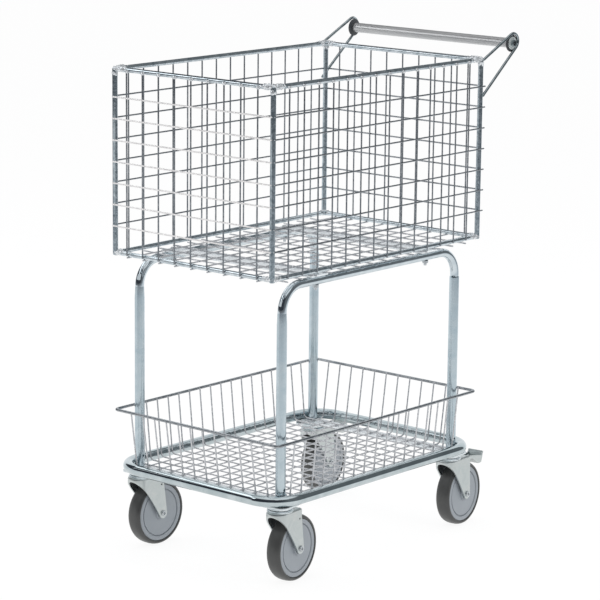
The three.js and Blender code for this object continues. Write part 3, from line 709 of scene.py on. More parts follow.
def make_basket_floor():
    reach_x = RIM_X + RIM_ROD / 2 + 1
    reach_y = RIM_Y + RIM_ROD / 2 + 1
    across = spot(MESH_PITCH, 0, 0)
    along = spot(0, MESH_PITCH, 0)
    first_long = place(FIRST_END_WIRE, -reach_y, FLOOR_LONG_Z)
    last_long = place(FIRST_END_WIRE, reach_y, FLOOR_LONG_Z)
    long_wires = wire_row(first_long, last_long, END_WIRES, across)
    first_cross = place(-reach_x, FIRST_SIDE_WIRE, FLOOR_CROSS_Z)
    last_cross = place(reach_x, FIRST_SIDE_WIRE, FLOOR_CROSS_Z)
    cross_wires = wire_row(first_cross, last_cross, SIDE_WIRES, along)
    crossing = place(FIRST_END_WIRE, FIRST_SIDE_WIRE, (FLOOR_LONG_Z + FLOOR_CROSS_Z) / 2)
    welds = bead_grid(crossing, WIRE_BEAD, flattened(1.15, 0.8, 2), END_WIRES, across, SIDE_WIRES, along)
    floor = together(long_wires, cross_wires, welds)
    hand_over(floor, "mesh_floor_wires", NET_ZINC, "zinc_wire", "cart", "mesh_floor")


def rim_corner_welds(side_x, side_y, z, run):
    """A large lump on one corner of a rim, and smaller ones run along both rods from it."""
    x = side_x * (RIM_X - 0.5)
    y = side_y * (RIM_Y - 0.5)
    lumps = [weld_lump(place(x, y, z + 0.4), CORNER_LUMP, (1.0, 1.0, 0.72))]
    for distance, size in run:
        on_end = place(x - side_x * distance, y + side_y, z + 0.6)
        on_side = place(x + side_x, y - side_y * distance, z + 0.6)
        lumps.append(weld_lump(on_end, size, (1.35, 0.9, 0.9)))
        lumps.append(weld_lump(on_side, size, (0.9, 1.35, 0.9)))
    return lumps


def post_welds(side_x, side_y):
    """A lump near the top of a post, and a bead on two sides where each level wire crosses it."""
    x = side_x * POST_X
    y = side_y * POST_Y
    lumps = [weld_lump(place(x, y, TOP_RIM_Z - POST_LUMP_DROP), POST_LUMP, (1.0, 1.0, 1.3))]
    for level in range(LEVELS):
        z = FIRST_LEVEL + level * MESH_PITCH
        lumps.append(bead(place(x, y + side_y * POST_BEAD_OUT, z), POST_BEAD, (1.3, 0.6, 1)))
        lumps.append(bead(place(x + side_x * POST_BEAD_OUT, y, z), POST_BEAD, (0.6, 1.3, 1)))
    return lumps


def rim_lap_welds(side):
    """Beads on the outside of the top rim, where the uprights of one end and one side lap it."""
    x = side * (RIM_X + RIM_LAP_OUT)
    y = side * (RIM_Y + RIM_LAP_OUT)
    z = TOP_RIM_Z - RIM_LAP_DROP
    on_end = bead(place(FIRST_END_WIRE, y, z), RIM_LAP_BEAD, (1.35, 0.8, 0.85))
    on_side = bead(place(x, FIRST_SIDE_WIRE, z), RIM_LAP_BEAD, (0.8, 1.35, 0.85))
    return [
        repeat(on_end, END_WIRES, spot(MESH_PITCH, 0, 0)),
        repeat(on_side, SIDE_WIRES, spot(0, MESH_PITCH, 0)),
    ]


def make_corner_welds():
    lumps = []
    for side_y in (-1, 1):
        for side_x in (-1, 1):
            lumps += rim_corner_welds(side_x, side_y, TOP_RIM_Z, TOP_WELD_RUN)
            lumps += rim_corner_welds(side_x, side_y, BOTTOM_RIM_Z, BOTTOM_WELD_RUN)
            lumps += post_welds(side_x, side_y)
    for side in (-1, 1):
        lumps += rim_lap_welds(side)
    for x, y in RIM_JOINTS:
        squash = (1.7, 1.0, 1.0) if abs(y) == RIM_Y else (1.0, 1.7, 1.0)
        lumps.append(weld_lump(place(x, y, TOP_RIM_Z + 0.5), JOINT_LUMP, squash))
    hand_over(together(*lumps), "basket_corner_welds", WELD_ZINC, "zinc_tube", "cart")


# Push handle

def make_bracket(hand, x):
    """One rod lapped on the post, bent round the end of the handle and back to the post."""
    centre = place(x, HANDLE_Y, LOOP_Z)
    reach = HANDLE_Y - BRACKET_FOOT_Y
    high = LOOP_Z - BRACKET_HIGH_Z
    low = LOOP_Z - BRACKET_LOW_Z
    start = math.atan2(high, reach) + math.asin(LOOP_RADIUS / math.hypot(high, reach)) + math.pi / 2
    end = math.atan2(low, reach) - math.asin(LOOP_RADIUS / math.hypot(low, reach)) - math.pi / 2
    first = place(x, BRACKET_FOOT_Y, BRACKET_HIGH_Z)
    touch = place(x, HANDLE_Y + LOOP_RADIUS * math.cos(start), LOOP_Z + LOOP_RADIUS * math.sin(start))
    leave = place(x, HANDLE_Y + LOOP_RADIUS * math.cos(end), LOOP_Z + LOOP_RADIUS * math.sin(end))
    last = place(x, BRACKET_FOOT_Y, BRACKET_LOW_Z)
    rod = rod_section(first, touch - first, BRACKET_ROD, 16)
    open_up(rod)
    draw_out(touch - first)
    bpy.ops.mesh.spin(steps=20, angle=start - end, center=centre, axis=ACROSS)
    draw_out(last - leave)
    close_up()
    rod = finish_rod(rod, BRACKET_ROD, False)
    node = f"handle_bracket_{hand}"
    hand_over(rod, f"{node}_rod", BRACKET_ZINC, "zinc_tube", "cart", node)
    inward = -4 if x > 0 else 4
    welds = together(
        weld_lump(place(x + inward, BRACKET_FOOT_Y + 3, BRACKET_HIGH_Z + 0.5), 8, (0.8, 1.1, 0.9)),
        weld_lump(place(x + inward, BRACKET_FOOT_Y + 4, BRACKET_LOW_Z + 2.5), 8.5, (0.8, 0.9, 1.3)),
    )
    hand_over(welds, f"{node}_welds", WELD_ZINC, "zinc_tube", "cart")


def make_handle():
    middle = place(0, HANDLE_Y, HANDLE_Z)
    back = CAP_FACE - CAP_PLATE
    end = back - 0.2
    tube = HANDLE_TUBE / 2
    half = [(CAP_BORE, end), (tube - 1, end), (tube - 0.15, end - 1), (tube, end - 3)]
    grip = turned(mirrored(half), ACROSS, middle, 36)
    hand_over(grip, "handle_grip", GRIP_GREY, "grip_plastic", "cart", "handle_tube")
    disc = [
        (CAP_BORE, back), (tube + 1, back), (tube + 1.6, back + 1), (CAP_RADIUS - 1.4, back + 1.2),
        (CAP_RADIUS - 0.3, back + 1.8), (CAP_RADIUS, back + 2.8), (CAP_RADIUS - 0.6, CAP_FACE),
        (CAP_BORE, CAP_FACE), (CAP_BORE, back),
    ]
    seat = CAP_FACE + 0.2
    face = seat + HANDLE_WASHER_PLATE
    shank = [
        (0, HANDLE_BOLT_END), (HANDLE_BOLT, HANDLE_BOLT_END), (HANDLE_BOLT, seat),
        (HANDLE_WASHER - 0.4, seat), (HANDLE_WASHER, seat + 0.4),
        (HANDLE_WASHER, face - 0.4), (HANDLE_WASHER - 0.4, face), (0, face), (0, HANDLE_BOLT_END),
    ]
    top = face + HANDLE_HEAD_HEIGHT
    dimple = [
        (0, top - 0.4), (3.6, top - 0.4), (3.3, top - 0.1), (1.5, top - 0.1),
        (1.2, top - 0.5), (0, top - 0.5),
    ]
    for hand, side in (("left", -1), ("right", 1)):
        out = ACROSS * side
        make_bracket(hand, side * BRACKET_X)
        node = f"handle_end_cap_{hand}"
        hand_over(turned(disc, out, middle, 44), f"{node}_disc", CAP_GREY, "cap_plastic", "cart", node)
        node = f"handle_bolt_{hand}"
        washer = turned(shank, out, middle, 32)
        hand_over(washer, f"{node}_washer", WASHER_ZINC, "steel_bolt", "cart", node)
        centre = middle + out * (face + 2.4) * MM
        head = hexagon(HANDLE_HEAD, HANDLE_HEAD_HEIGHT, out, centre)
        head = together(head, turned(dimple, out, middle, 24))
        # The hex head takes the dark bracket zinc, a painted dark reflection on its end face.
        hand_over(head, f"{node}_hex", BRACKET_ZINC, "steel_bolt", "cart")


# Frames, bolts and base ring

def make_side_frame(hand, side):
    """A bent U whose ends are tucked into two legs; the front legs are swaged, the rear ones slotted."""
    x = side * LEG_X
    tuck = SEAM_Z - FRAME_TUCK
    route = [
        place(x, -LEG_Y, tuck), place(x, -LEG_Y, FRAME_AXIS_Z),
        place(x, LEG_Y, FRAME_AXIS_Z), place(x, LEG_Y, tuck),
    ]
    top = bent_rod(route, FRAME_TUBE, FRAME_BEND, sides=32, steps=14)
    radius = LEG_TUBE / 2
    mouth = SEAM_Z + SWAGE_END
    swaged = [
        (0, LEG_FOOT_Z), (radius, LEG_FOOT_Z), (radius, SEAM_Z - SWAGE_START), (FRAME_TUBE / 2, mouth),
        (0, mouth), (0, LEG_FOOT_Z),
    ]
    front = turned(swaged, UP, place(x, -LEG_Y, 0), 32)
    rear = bent_rod([place(x, LEG_Y, LEG_FOOT_Z), place(x, LEG_Y, SEAM_Z)], LEG_TUBE, sides=32)
    for leg, y in ((front, -LEG_Y), (rear, LEG_Y)):
        hole = [place(x - 12, y, LEG_HOLE_Z), place(x + 12, y, LEG_HOLE_Z)]
        trim(leg, bent_rod(hole, LEG_HOLE, sides=16), "DIFFERENCE")
    slot = place(x, LEG_Y, SEAM_Z) + spot(*LEG_SLOT_SHIFT)
    for tube in (rear, top):
        trim(tube, bead(slot, LEG_SLOT, LEG_SLOT_SQUASH), "DIFFERENCE")
    node = f"side_frame_{hand}"
    # The U takes the lighter zinc, a painted highlight on its bends.
    hand_over(top, f"{node}_top", BEND_HIGHLIGHT_ZINC, "zinc_tube", "cart", node)
    hand_over(together(front, rear), f"{node}_legs", TUBE_ZINC, "zinc_tube", "cart")


def make_basket_bolt(node, x, y):
    """A round head on the floor strip, a long shank and a nut under the frame tube."""
    foot = place(x, y, 0)
    shank = [
        (0, 536), (2.4, 536), (3, 536.8), (3, 545.4), (5.8, 545.4), (5.8, 545.6), (3, 545.6),
        (3, 565.5), (5.2, 565.5), (5.9, 566.3), (5.2, 568), (3, 568.9), (0, 569),
    ]
    nut = hexagon(BASKET_NUT, BASKET_NUT_HEIGHT, UP, foot + UP * BASKET_NUT_Z * MM)
    bolt = together(turned(shank, UP, foot, 28), nut)
    hand_over(bolt, f"{node}_hex", BOLT_ZINC, "steel_bolt", "cart", node)


def make_frames():
    for hand, side in (("left", -1), ("right", 1)):
        make_side_frame(hand, side)
        for end, y in zip(("front", "rear"), STRIP_Y):
            make_basket_bolt(f"basket_bolt_{end}_{hand}", side * LEG_X, y)


def make_base_ring():
    corners = rectangle(RING_X, RING_Y, RING_Z)
    ring = bent_rod(corners, RING_TUBE, RING_BEND, sides=40, steps=16, closed=True)
    hand_over(ring, "base_ring_tube", RING_ZINC, "zinc_tube", "cart", "base_ring")
    lumps = []
    for side_x in (-1, 1):
        for side_y in (-1, 1):
            x = side_x * (LEG_X + 7.5)
            y = side_y * (LEG_Y + 4.5)
            low = FOOT_WELD_Z - 0.5
            on_end = place(x - side_x * 7, y + side_y * 4, low)
            on_side = place(x + side_x * 1.5, y - side_y * 8, low)
            lumps.append(weld_lump(place(x, y, FOOT_WELD_Z), FOOT_WELD, (1, 1, 0.9)))
            lumps.append(weld_lump(on_end, FOOT_WELD_BESIDE, (1.2, 0.9, 0.9)))
            lumps.append(weld_lump(on_side, FOOT_WELD_BESIDE, (0.9, 1.2, 0.9)))
    hand_over(together(*lumps), "leg_foot_welds", TUBE_ZINC, "zinc_tube", "cart")


# Lower basket: each wire runs down one wall, over the floor and up the other wall

def make_lower_basket():
    top_x = TRAY_RIM_X - TRAY_LAP
    top_y = TRAY_RIM_Y - TRAY_LAP
    top = TRAY_RIM_Z + 1
    step_x = spot(TRAY_PITCH, 0, 0)
    step_y = spot(0, TRAY_PITCH, 0)
    first_x = FIRST_LONG_WIRE
    first_y = FIRST_CROSS_WIRE
    across_route = [
        place(-top_x, first_y, top), place(-TRAY_FLOOR_X, first_y, TRAY_CROSS_Z),
        place(TRAY_FLOOR_X, first_y, TRAY_CROSS_Z), place(top_x, first_y, top),
    ]
    across = repeat(bent_rod(across_route, WIRE, TRAY_BEND, sides=10, steps=5), CROSS_WIRES, step_y)
    along_route = [
        place(first_x, -top_y, top), place(first_x, -TRAY_FLOOR_Y, TRAY_LONG_Z),
        place(first_x, TRAY_FLOOR_Y, TRAY_LONG_Z), place(first_x, top_y, top),
    ]
    along = repeat(bent_rod(along_route, WIRE, TRAY_BEND, sides=10, steps=5), LONG_WIRES, step_x)
    crossing = place(first_x, first_y, (TRAY_LONG_Z + TRAY_CROSS_Z) / 2)
    squash = flattened(1.15, 0.8, 2)
    welds = bead_grid(crossing, WIRE_BEAD, squash, LONG_WIRES, step_x, CROSS_WIRES, step_y)
    lap_x = top_x + LAP_BEAD_OUT
    lap_y = top_y + LAP_BEAD_OUT
    on_sides = place(-lap_x, first_y, TRAY_RIM_Z)
    on_ends = place(first_x, -lap_y, TRAY_RIM_Z)
    over_x = spot(2 * lap_x, 0, 0)
    over_y = spot(0, 2 * lap_y, 0)
    side_laps = bead_grid(on_sides, WIRE_BEAD, (0.8, 1.1, 1), CROSS_WIRES, step_y, 2, over_x)
    end_laps = bead_grid(on_ends, WIRE_BEAD, (1.1, 0.8, 1), LONG_WIRES, step_x, 2, over_y)
    wires = together(across, along, welds, side_laps, end_laps)
    hand_over(wires, "lower_basket_wires", NET_ZINC, "zinc_wire", "cart", "tray_floor")
    corners = rectangle(TRAY_RIM_X, TRAY_RIM_Y, TRAY_RIM_Z)
    rim = bent_rod(corners, TRAY_RIM_ROD, TRAY_BEND, sides=16, steps=6, closed=True)
    walls = [f"tray_wall_{side}" for side in ("left", "right", "front", "rear")]
    hand_over(rim, "lower_basket_rim", WIRE_ZINC, "zinc_wire", "cart", *walls)


# Casters

def set_down(piece, caster):
    """Moves a caster's piece under its king pin and turns it to the caster's heading."""
    x, y, heading = CASTERS[caster]
    piece.location = place(x, y, 0)
    piece.rotation_euler = (0, 0, math.radians(heading))
    return settle(piece)


def fork_shell():
    """The pressed sheet before it is cut: a round nose, straight sides and a rounded crown."""
    nose = FORK_HALF - NOSE_REACH
    plan = [(FORK_HALF, BLANK_END), (-FORK_HALF, BLANK_END)] + arc((0, nose), FORK_HALF, 180, 360, 20)
    block = slab([spot(x, y, FORK_TOP) for x, y in plan], spot(0, 0, BLANK_LOW - FORK_TOP))
    open_up(block, "DESELECT")
    select_faces(block, lambda face: face.normal.z > 0.9)
    bpy.ops.mesh.region_to_loop()
    bpy.ops.mesh.bevel(offset=CROWN_ROUND * MM, segments=5, affect="EDGES")
    select_faces(block, lambda face: face.normal.z < -0.9 or face.normal.y > 0.9)
    bpy.ops.mesh.delete(type="FACE")
    close_up()
    return press(block, "SOLIDIFY", thickness=FORK_SHEET * MM, offset=-1, use_even_offset=True)


def fork_side(braked):
    """The fork from its side: a bowed slope from the nose down to the axle eye, and up the heel."""
    heel = HINGE_Y + PEDAL_EAR if braked else FORK_HEEL
    ear = HINGE_Z - PEDAL_EAR
    brow = FORK_TOP - NOSE_DEPTH
    reach = TRAIL + NOSE_REACH
    drop = brow - AXLE_Z
    slope = math.atan2(drop, reach) + math.asin(EYE / math.hypot(reach, drop))
    eye = arc((TRAIL, AXLE_Z), EYE, -math.degrees(slope) - 90, 0, 14)
    bow = (EDGE_RISE * math.sin(slope), EDGE_RISE * math.cos(slope))
    above = FORK_TOP + 14
    outline = [(-60, above), (-60, brow), (-NOSE_REACH, brow)]
    outline += bowed(outline[-1], eye[0], bow, 10) + eye
    outline += [(heel - 0.4, ear - 4), (heel, ear), (heel, FORK_TOP - 4)]
    outline += [(heel - 4, FORK_TOP), (heel - 4, above)]
    return outline


def fork_pressing(braked):
    """A pressed sheet fork, cut to its side outline and open over the wheel."""
    fork = fork_shell()
    trim(fork, slab([spot(-40, y, z) for y, z in fork_side(braked)], spot(80, 0, 0)), "INTERSECT")
    inner = FORK_HALF - FORK_SHEET
    window = [(-inner, CROWN_HEEL), (inner, CROWN_HEEL), (inner, 80), (-inner, 80)]
    trim(fork, slab([spot(x, y, 120) for x, y in window], spot(0, 0, 40)), "DIFFERENCE")
    if not braked:
        y, z = FORK_HOLE
        trim(fork, bent_rod([spot(-30, y, z), spot(30, y, z)], FORK_HOLE_SIZE, sides=16), "DIFFERENCE")
    return soften(fork, 0.5, segments=2, angle=40)


def swivel_cup():
    """The lower half of the ball race, on the crown of the fork."""
    cup = [(6, -0.5), (22.4, -2.6), (23.8, -1.6), (24.2, 0), (23.4, 1.5), (21.4, 2.4), (6, 2.4), (6, -0.5)]
    return turned(cup, UP, spot(0, 0, FORK_TOP), 48)


def caster_plate():
    """A top plate with round corners, and the upper half of the ball race under it."""
    straight = TOP_PLATE_HALF - TOP_PLATE_CORNER
    outline = []
    for quarter, (x, y) in enumerate(((1, 1), (-1, 1), (-1, -1), (1, -1))):
        start = 90 * quarter
        outline += arc((x * straight, y * straight), TOP_PLATE_CORNER, start, start + 90, 6)
    plate = slab([spot(x, y, TOP_PLATE_Z) for x, y in outline], spot(0, 0, TOP_PLATE))
    race = [
        (5.6, 143.9), (20.6, 143.9), (21.9, 144.7), (22.3, 146), (21.6, 147.4), (20.2, 148.2),
        (20.0, 149.8), (5.6, 149.8), (5.6, 143.9),
    ]
    return together(soften(plate, 0.7), turned(race, UP, steps=48))


def wheel_hub():
    """A plain disc with a boss and a groove near its edge."""
    half = [
        (5.4, 17), (12.4, 17), (13.0, 16.4), (13.4, 13.2), (15, 12.6), (43.8, 12.6), (44.1, 10.6),
        (45.6, 10.6), (46.1, 12.8), (46.7, 13.4), (53.4, 13.6), (54.3, 13.0),
    ]
    return turned(mirrored(half), ACROSS, spot(0, TRAIL, AXLE_Z), 64)


def wheel_tyre():
    """A solid tyre with round shoulders and a slightly crowned tread."""
    half = [
        (54.7, 13.2), (55.3, 14.2), (56.6, 14.8), (58.2, 14.5), (59.8, 13.3), (61.1, 11.0),
        (62.0, 7.8), (62.45, 4),
    ]
    return turned(mirrored(half), ACROSS, spot(0, TRAIL, AXLE_Z), 72)


def axle_bolt():
    """A hollow rivet end on one side of the fork and a nut on the other."""
    centre = spot(0, TRAIL, AXLE_Z)
    shank = [
        (0, -24.8), (3.2, -24.8), (4, -24.2), (4, -23.9), (5, -21.4), (7.6, -21.4), (7.9, -21.2),
        (5, -21.1), (5, 21.1), (5.4, 21.2), (5.4, 23.4), (4.7, 24.3), (3.4, 24.3), (2.7, 23.4),
        (2.6, 21.6), (0, 21.6),
    ]
    nut = hexagon(AXLE_NUT, AXLE_NUT_HEIGHT, ACROSS, centre - spot(AXLE_NUT_OUT, 0, 0))
    return together(turned(shank, ACROSS, centre, 32), nut)


def brake_pedal():
    """A pressed tray with two side walls, a sloping floor and a lip turned up at its far end."""
    wall = [(0, -3.4), (24, -8.5), (46, -22), (56, -22), (63, 0), (60.6, 0), (56, -7), (0, 3.4)]
    outline = [spot(-PEDAL_WIDTH / 2, HINGE_Y + y, HINGE_Z + z) for y, z in wall]
    tray = slab(outline, spot(PEDAL_WIDTH, 0, 0))
    open_up(tray, "DESELECT")
    select_faces(tray, lambda face: face.normal.z > 0.3 or face.normal.y < -0.7)
    bpy.ops.mesh.delete(type="FACE")
    close_up()
    soften(tray, 3, segments=4, angle=60)
    press(tray, "SOLIDIFY", thickness=PEDAL_SHEET * MM, offset=-1, use_even_offset=True)
    soften(tray, 0.5)
    pin = [
        (0, -21.4), (3, -21.4), (3.4, -21), (2.4, -20.6), (2.4, -17.6), (3.4, -17.4), (3.4, 17.4),
        (2.4, 17.6), (2.4, 20.6), (3.4, 21), (3, 21.4), (0, 21.4),
    ]
    return together(tray, turned(pin, ACROSS, spot(0, HINGE_Y, HINGE_Z), 28))


def make_casters():
    forks = {braked: fork_pressing(braked) for braked in (False, True)}
    cup = swivel_cup()
    models = [
        # The top plate takes the race zinc, partly painted light in the shade under the ring.
        (caster_plate(), "caster_plate", "mounting", RACE_ZINC, "zinc_plate", "cart"),
        (axle_bolt(), "axle", "bolt", BOLT_ZINC, "steel_bolt", "swivel"),
        (wheel_hub(), "hub", "disc", HUB_GREY, "hub_plastic", "wheel"),
        (wheel_tyre(), "tyre", "tread", TYRE_RUBBER, "tyre_rubber", "wheel"),
    ]
    pedal = brake_pedal()
    for caster in CASTERS:
        braked = caster in BRAKED
        for model, node, word, finish, slot, body in models:
            piece = set_down(copy_of(model), caster)
            rides_on = body if body == "cart" else f"{body}_{caster}"
            hand_over(piece, f"{node}_{caster}_{word}", finish, slot, rides_on, f"{node}_{caster}")
        node = f"fork_{caster}"
        fork = set_down(copy_of(forks[braked]), caster)
        hand_over(fork, f"{node}_pressing", SHEET_ZINC, "zinc_plate", f"swivel_{caster}", node)
        race_cup = set_down(copy_of(cup), caster)
        hand_over(race_cup, f"{node}_race_cup", RACE_ZINC, "zinc_plate", f"swivel_{caster}")
        if braked:
            piece = set_down(copy_of(pedal), caster)
            node = f"brake_pedal_{caster}"
            hand_over(piece, f"{node}_tray", SHEET_ZINC, "zinc_plate", f"pedal_{caster}", node)
    for model in [row[0] for row in models] + list(forks.values()) + [cup, pedal]:
        bpy.data.objects.remove(model)


def dress_kept_solids():
    """Plain solids that already have the right shape only need their finish."""
    # The strips take the near-white finish, painted light against their shade.
    finishes = {"floor_strip": PAINTED_LIGHT_STRIP_ZINC, "caster_strip": PAINTED_LIGHT_STRIP_ZINC, "king_pin": BOLT_ZINC}
    for node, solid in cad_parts.items():
        for start, finish in finishes.items():
            if node.startswith(start):
                solid.data.materials.clear()
                solid.data.materials.append(finish)


# Stage: pale floor, white surroundings, soft studio light and the camera.
# In the metal the floor is brightest under the cart; its stops run over this many metres from there.
FLOOR_REACH = 8
FLOOR_IN_METAL = (
    (0.0, (0.96, 0.96, 0.96)),
    (0.14, (0.93, 0.94, 0.94)),
    (0.26, (0.80, 0.83, 0.85)),
    (0.33, (0.62, 0.66, 0.70)),
    (0.40, (0.36, 0.40, 0.44)),
    (0.52, (0.18, 0.20, 0.23)),
    (1.0, (0.08, 0.09, 0.10)),
)
PAPER_WHITE = (1.06, 1.06, 1.06)
PAPER_GLOW = 0.85
FRONT_ROOM = (0.04, 0.045, 0.055)
REAR_ROOM = (0.15, 0.165, 0.175)
SOFTBOX = (0.92, 0.94, 0.96)
OTHER_LIGHT = (0.62, 0.62, 0.63)
# Boards that only the metal sees: centre, way they face, width, height and brightness, in metres
BOARDS = {
    "left_softbox": ((-1.045, -0.67, 1.55), (0.95, 0.3, 0), 2.6, 0.56, 2.0),
    "left_low_board": ((-1.045, -0.67, 0.19), (0.95, 0.3, 0), 2.6, 0.38, 0.9),
    "left_wall": ((-0.5, 0.35, 0.475), (1, 0, 0), 1.2, 0.95, 1.0),
    "rear_wall": ((-0.08, 0.95, 0.65), (0, -1, 0), 0.84, 1.3, 1.0),
    "right_softbox": ((1.0, -0.57, 1.63), (-0.67, 0.18, -0.72), 1.0, 0.6, 1.0),
    "near_board": ((-0.35, -0.67, 0.69), (0, 1, 0), 1.1, 0.18, 0.75),
}
# Lamps: place, width and height in metres; all point at the middle of the cart
LAMPS = {
    "top_lamp": ((-0.3, 0.7, 3.0), 2.6, 1.6),
    "left_lamp": ((-2.6, -1.6, 1.9), 1.4, 2.0),
    "right_lamp": ((2.9, 0.4, 1.6), 1.0, 1.8),
}
LAMP_POWER = 18
LAMP_TARGET = Vector((0, 0, 0.5))
# The camera as solved from the photo: turns in degrees, places in millimetres
CAMERA_YAW = 40.614
CAMERA_PITCH = 11.767
CAMERA_ROLL = 0.602
CAMERA_SIDE = 6.63
CAMERA_RISE = 456.3
CAMERA_DISTANCE = 5306.3
CAMERA_GROUND = 1.4
FOCAL_PIXELS = 2744
PHOTO_PIXELS = 600
SENSOR_WIDTH = 36


def set_stops(ramp, stops):
    elements = ramp.color_ramp.elements
    while len(elements) < len(stops):
        elements.new(1.0)
    for element, (position, colour) in zip(elements, stops):
        element.position = position
        element.color = (*colour, 1)


def lay_floor():
    """White paper to the camera, with the cart's shadow; the metal sees it fall off with distance."""
    clear_bench()
    bpy.ops.mesh.primitive_plane_add(size=60, location=(0, 0, 0))
    floor = bpy.context.object
    floor.name = "studio_floor"
    paper = bpy.data.materials.new("studio_paper")
    paper.use_nodes = True
    nodes, links = paper.node_tree.nodes, paper.node_tree.links
    nodes.clear()
    where = nodes.new("ShaderNodeNewGeometry")
    distance = nodes.new("ShaderNodeVectorMath")
    distance.operation = "LENGTH"
    reach = nodes.new("ShaderNodeMapRange")
    reach.inputs["From Max"].default_value = FLOOR_REACH
    level = nodes.new("ShaderNodeValToRGB")
    set_stops(level, FLOOR_IN_METAL)
    matt = nodes.new("ShaderNodeBsdfDiffuse")
    matt.inputs["Color"].default_value = (0.9, 0.9, 0.9, 1)
    rays = nodes.new("ShaderNodeLightPath")
    glow = nodes.new("ShaderNodeEmission")
    mix = nodes.new("ShaderNodeMixShader")
    mix.inputs["Fac"].default_value = PAPER_GLOW
    out = nodes.new("ShaderNodeOutputMaterial")
    links.new(where.outputs["Position"], distance.inputs[0])
    links.new(distance.outputs["Value"], reach.inputs["Value"])
    links.new(reach.outputs["Result"], level.inputs["Fac"])
    seen = mix_colours(nodes, links, rays.outputs["Is Glossy Ray"], PAPER_WHITE, level.outputs["Color"])
    links.new(seen, glow.inputs["Color"])
    links.new(matt.outputs["BSDF"], mix.inputs[1])
    links.new(glow.outputs["Emission"], mix.inputs[2])
    links.new(mix.outputs["Shader"], out.inputs["Surface"])
    floor.data.materials.append(paper)


def band(nodes, links, value, start, full):
    """A soft mask: nothing at start, all at full."""
    ramp = nodes.new("ShaderNodeMapRange")
    ramp.interpolation_type = "SMOOTHSTEP"
    ramp.inputs["From Min"].default_value = start
    ramp.inputs["From Max"].default_value = full
    links.new(value, ramp.inputs["Value"])
    return ramp.outputs["Result"]


def toward(nodes, links, direction, way):
    """How far a direction points the given way, from -1 to 1."""
    aim = nodes.new("ShaderNodeVectorMath")
    aim.operation = "DOT_PRODUCT"
    aim.inputs[1].default_value = way
    links.new(direction, aim.inputs[0])
    return aim.outputs["Value"]


def light_world():
    """White to the camera, even light on plain surfaces; in the metal a dark room, light overhead."""
    world = bpy.data.worlds.new("studio_room")
    bpy.context.scene.world = world
    world.use_nodes = True
    nodes, links = world.node_tree.nodes, world.node_tree.links
    nodes.clear()
    direction = nodes.new("ShaderNodeTexCoord").outputs["Generated"]
    overhead = band(nodes, links, toward(nodes, links, direction, (0, 0, 1)), 0.72, 0.88)
    rearward = band(nodes, links, toward(nodes, links, direction, (0.5, 0.87, 0)), -0.1, 0.5)
    walls = mix_colours(nodes, links, rearward, FRONT_ROOM, REAR_ROOM)
    room = mix_colours(nodes, links, overhead, walls, SOFTBOX)
    rays = nodes.new("ShaderNodeLightPath")
    lit = mix_colours(nodes, links, rays.outputs["Is Glossy Ray"], OTHER_LIGHT, room)
    seen = mix_colours(nodes, links, rays.outputs["Is Camera Ray"], lit, (1.0, 1.0, 1.0))
    background = nodes.new("ShaderNodeBackground")
    out = nodes.new("ShaderNodeOutputWorld")
    links.new(seen, background.inputs["Color"])
    links.new(background.outputs["Background"], out.inputs["Surface"])


def glowing(name, brightness):
    glow = bpy.data.materials.new(name)
    glow.use_nodes = True
    nodes = glow.node_tree.nodes
    nodes.clear()
    light = nodes.new("ShaderNodeEmission")
    light.inputs["Color"].default_value = (*SOFTBOX, 1)
    light.inputs["Strength"].default_value = brightness
    out = nodes.new("ShaderNodeOutputMaterial")
    glow.node_tree.links.new(light.outputs["Emission"], out.inputs["Surface"])
    return glow


def stand_boards():
    """White boards round the cart, seen only in the metal."""
    for name, (centre, facing, width, height, brightness) in BOARDS.items():
        turn = Vector(facing).to_track_quat("Z", "Y").to_euler()
        clear_bench()
        bpy.ops.mesh.primitive_plane_add(size=1, location=centre, rotation=turn)
        board = bpy.context.object
        board.name = name
        board.scale = (width, height, 1)
        settle(board)
        board.visible_camera = False
        board.visible_diffuse = False
        board.visible_shadow = False
        board.data.materials.append(glowing(f"{name}_glow", brightness))


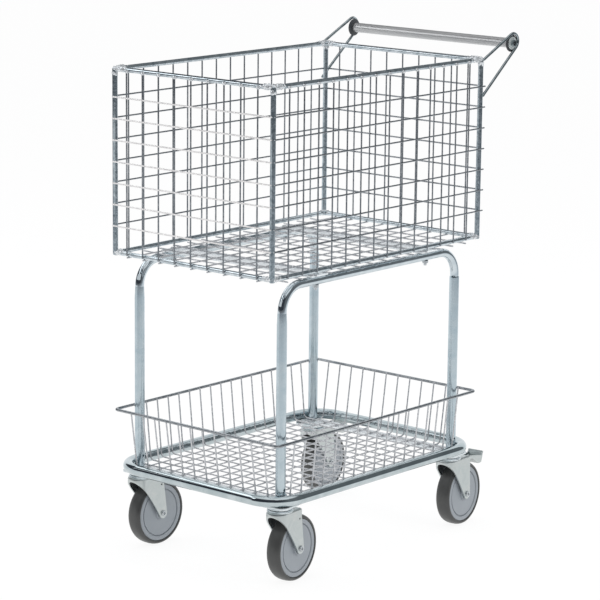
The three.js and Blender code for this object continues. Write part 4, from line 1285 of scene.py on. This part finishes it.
def hang_lamps():
    """Soft lamps for the shading of plain surfaces; the metal sees the boards instead."""
    for name, (position, width, height) in LAMPS.items():
        light = bpy.data.lights.new(name, "AREA")
        light.shape = "RECTANGLE"
        light.size = width
        light.size_y = height
        light.energy = LAMP_POWER
        lamp = bpy.data.objects.new(name, light)
        bpy.context.scene.collection.objects.link(lamp)
        lamp.location = position
        lamp.visible_glossy = False
        lamp.rotation_euler = (LAMP_TARGET - Vector(position)).to_track_quat("-Z", "Y").to_euler()


def set_camera():
    yaw, pitch, roll = (math.radians(angle) for angle in (CAMERA_YAW, CAMERA_PITCH, CAMERA_ROLL))
    back = Vector((math.sin(yaw) * math.cos(pitch), -math.cos(yaw) * math.cos(pitch), math.sin(pitch)))
    level = Vector((math.cos(yaw), math.sin(yaw), 0))
    upright = back.cross(level)
    right = level * math.cos(roll) + upright * math.sin(roll)
    up = upright * math.cos(roll) - level * math.sin(roll)
    stand = right * CAMERA_SIDE + up * CAMERA_RISE + back * CAMERA_DISTANCE
    stand += Vector((0, LENGTH_SHIFT, CAMERA_GROUND))
    lens = bpy.data.cameras.new("photo_camera")
    lens.sensor_width = SENSOR_WIDTH
    lens.lens = FOCAL_PIXELS * SENSOR_WIDTH / PHOTO_PIXELS
    lens.clip_start = 0.1
    lens.clip_end = 200
    camera = bpy.data.objects.new("photo_camera", lens)
    bpy.context.scene.collection.objects.link(camera)
    turn = Matrix((right, up, back)).transposed().to_4x4()
    camera.matrix_world = Matrix.Translation(stand * MM) @ turn
    bpy.context.scene.camera = camera


set_camera()
make_rims()
make_posts()
# The front panel's level wires take the painted highlight finish.
make_end_panel("mesh_panel_front", -1, FRONT_LEVEL_HIGHLIGHT_ZINC)
make_end_panel("mesh_panel_rear", 1, WIRE_ZINC)
make_side_panel("mesh_panel_left", -1)
make_side_panel("mesh_panel_right", 1)
make_basket_floor()
make_corner_welds()
make_handle()
make_frames()
make_base_ring()
make_lower_basket()
make_casters()
dress_kept_solids()
lay_floor()
light_world()
stand_boards()
hang_lamps()
bpy.context.scene.view_settings.view_transform = "Standard"
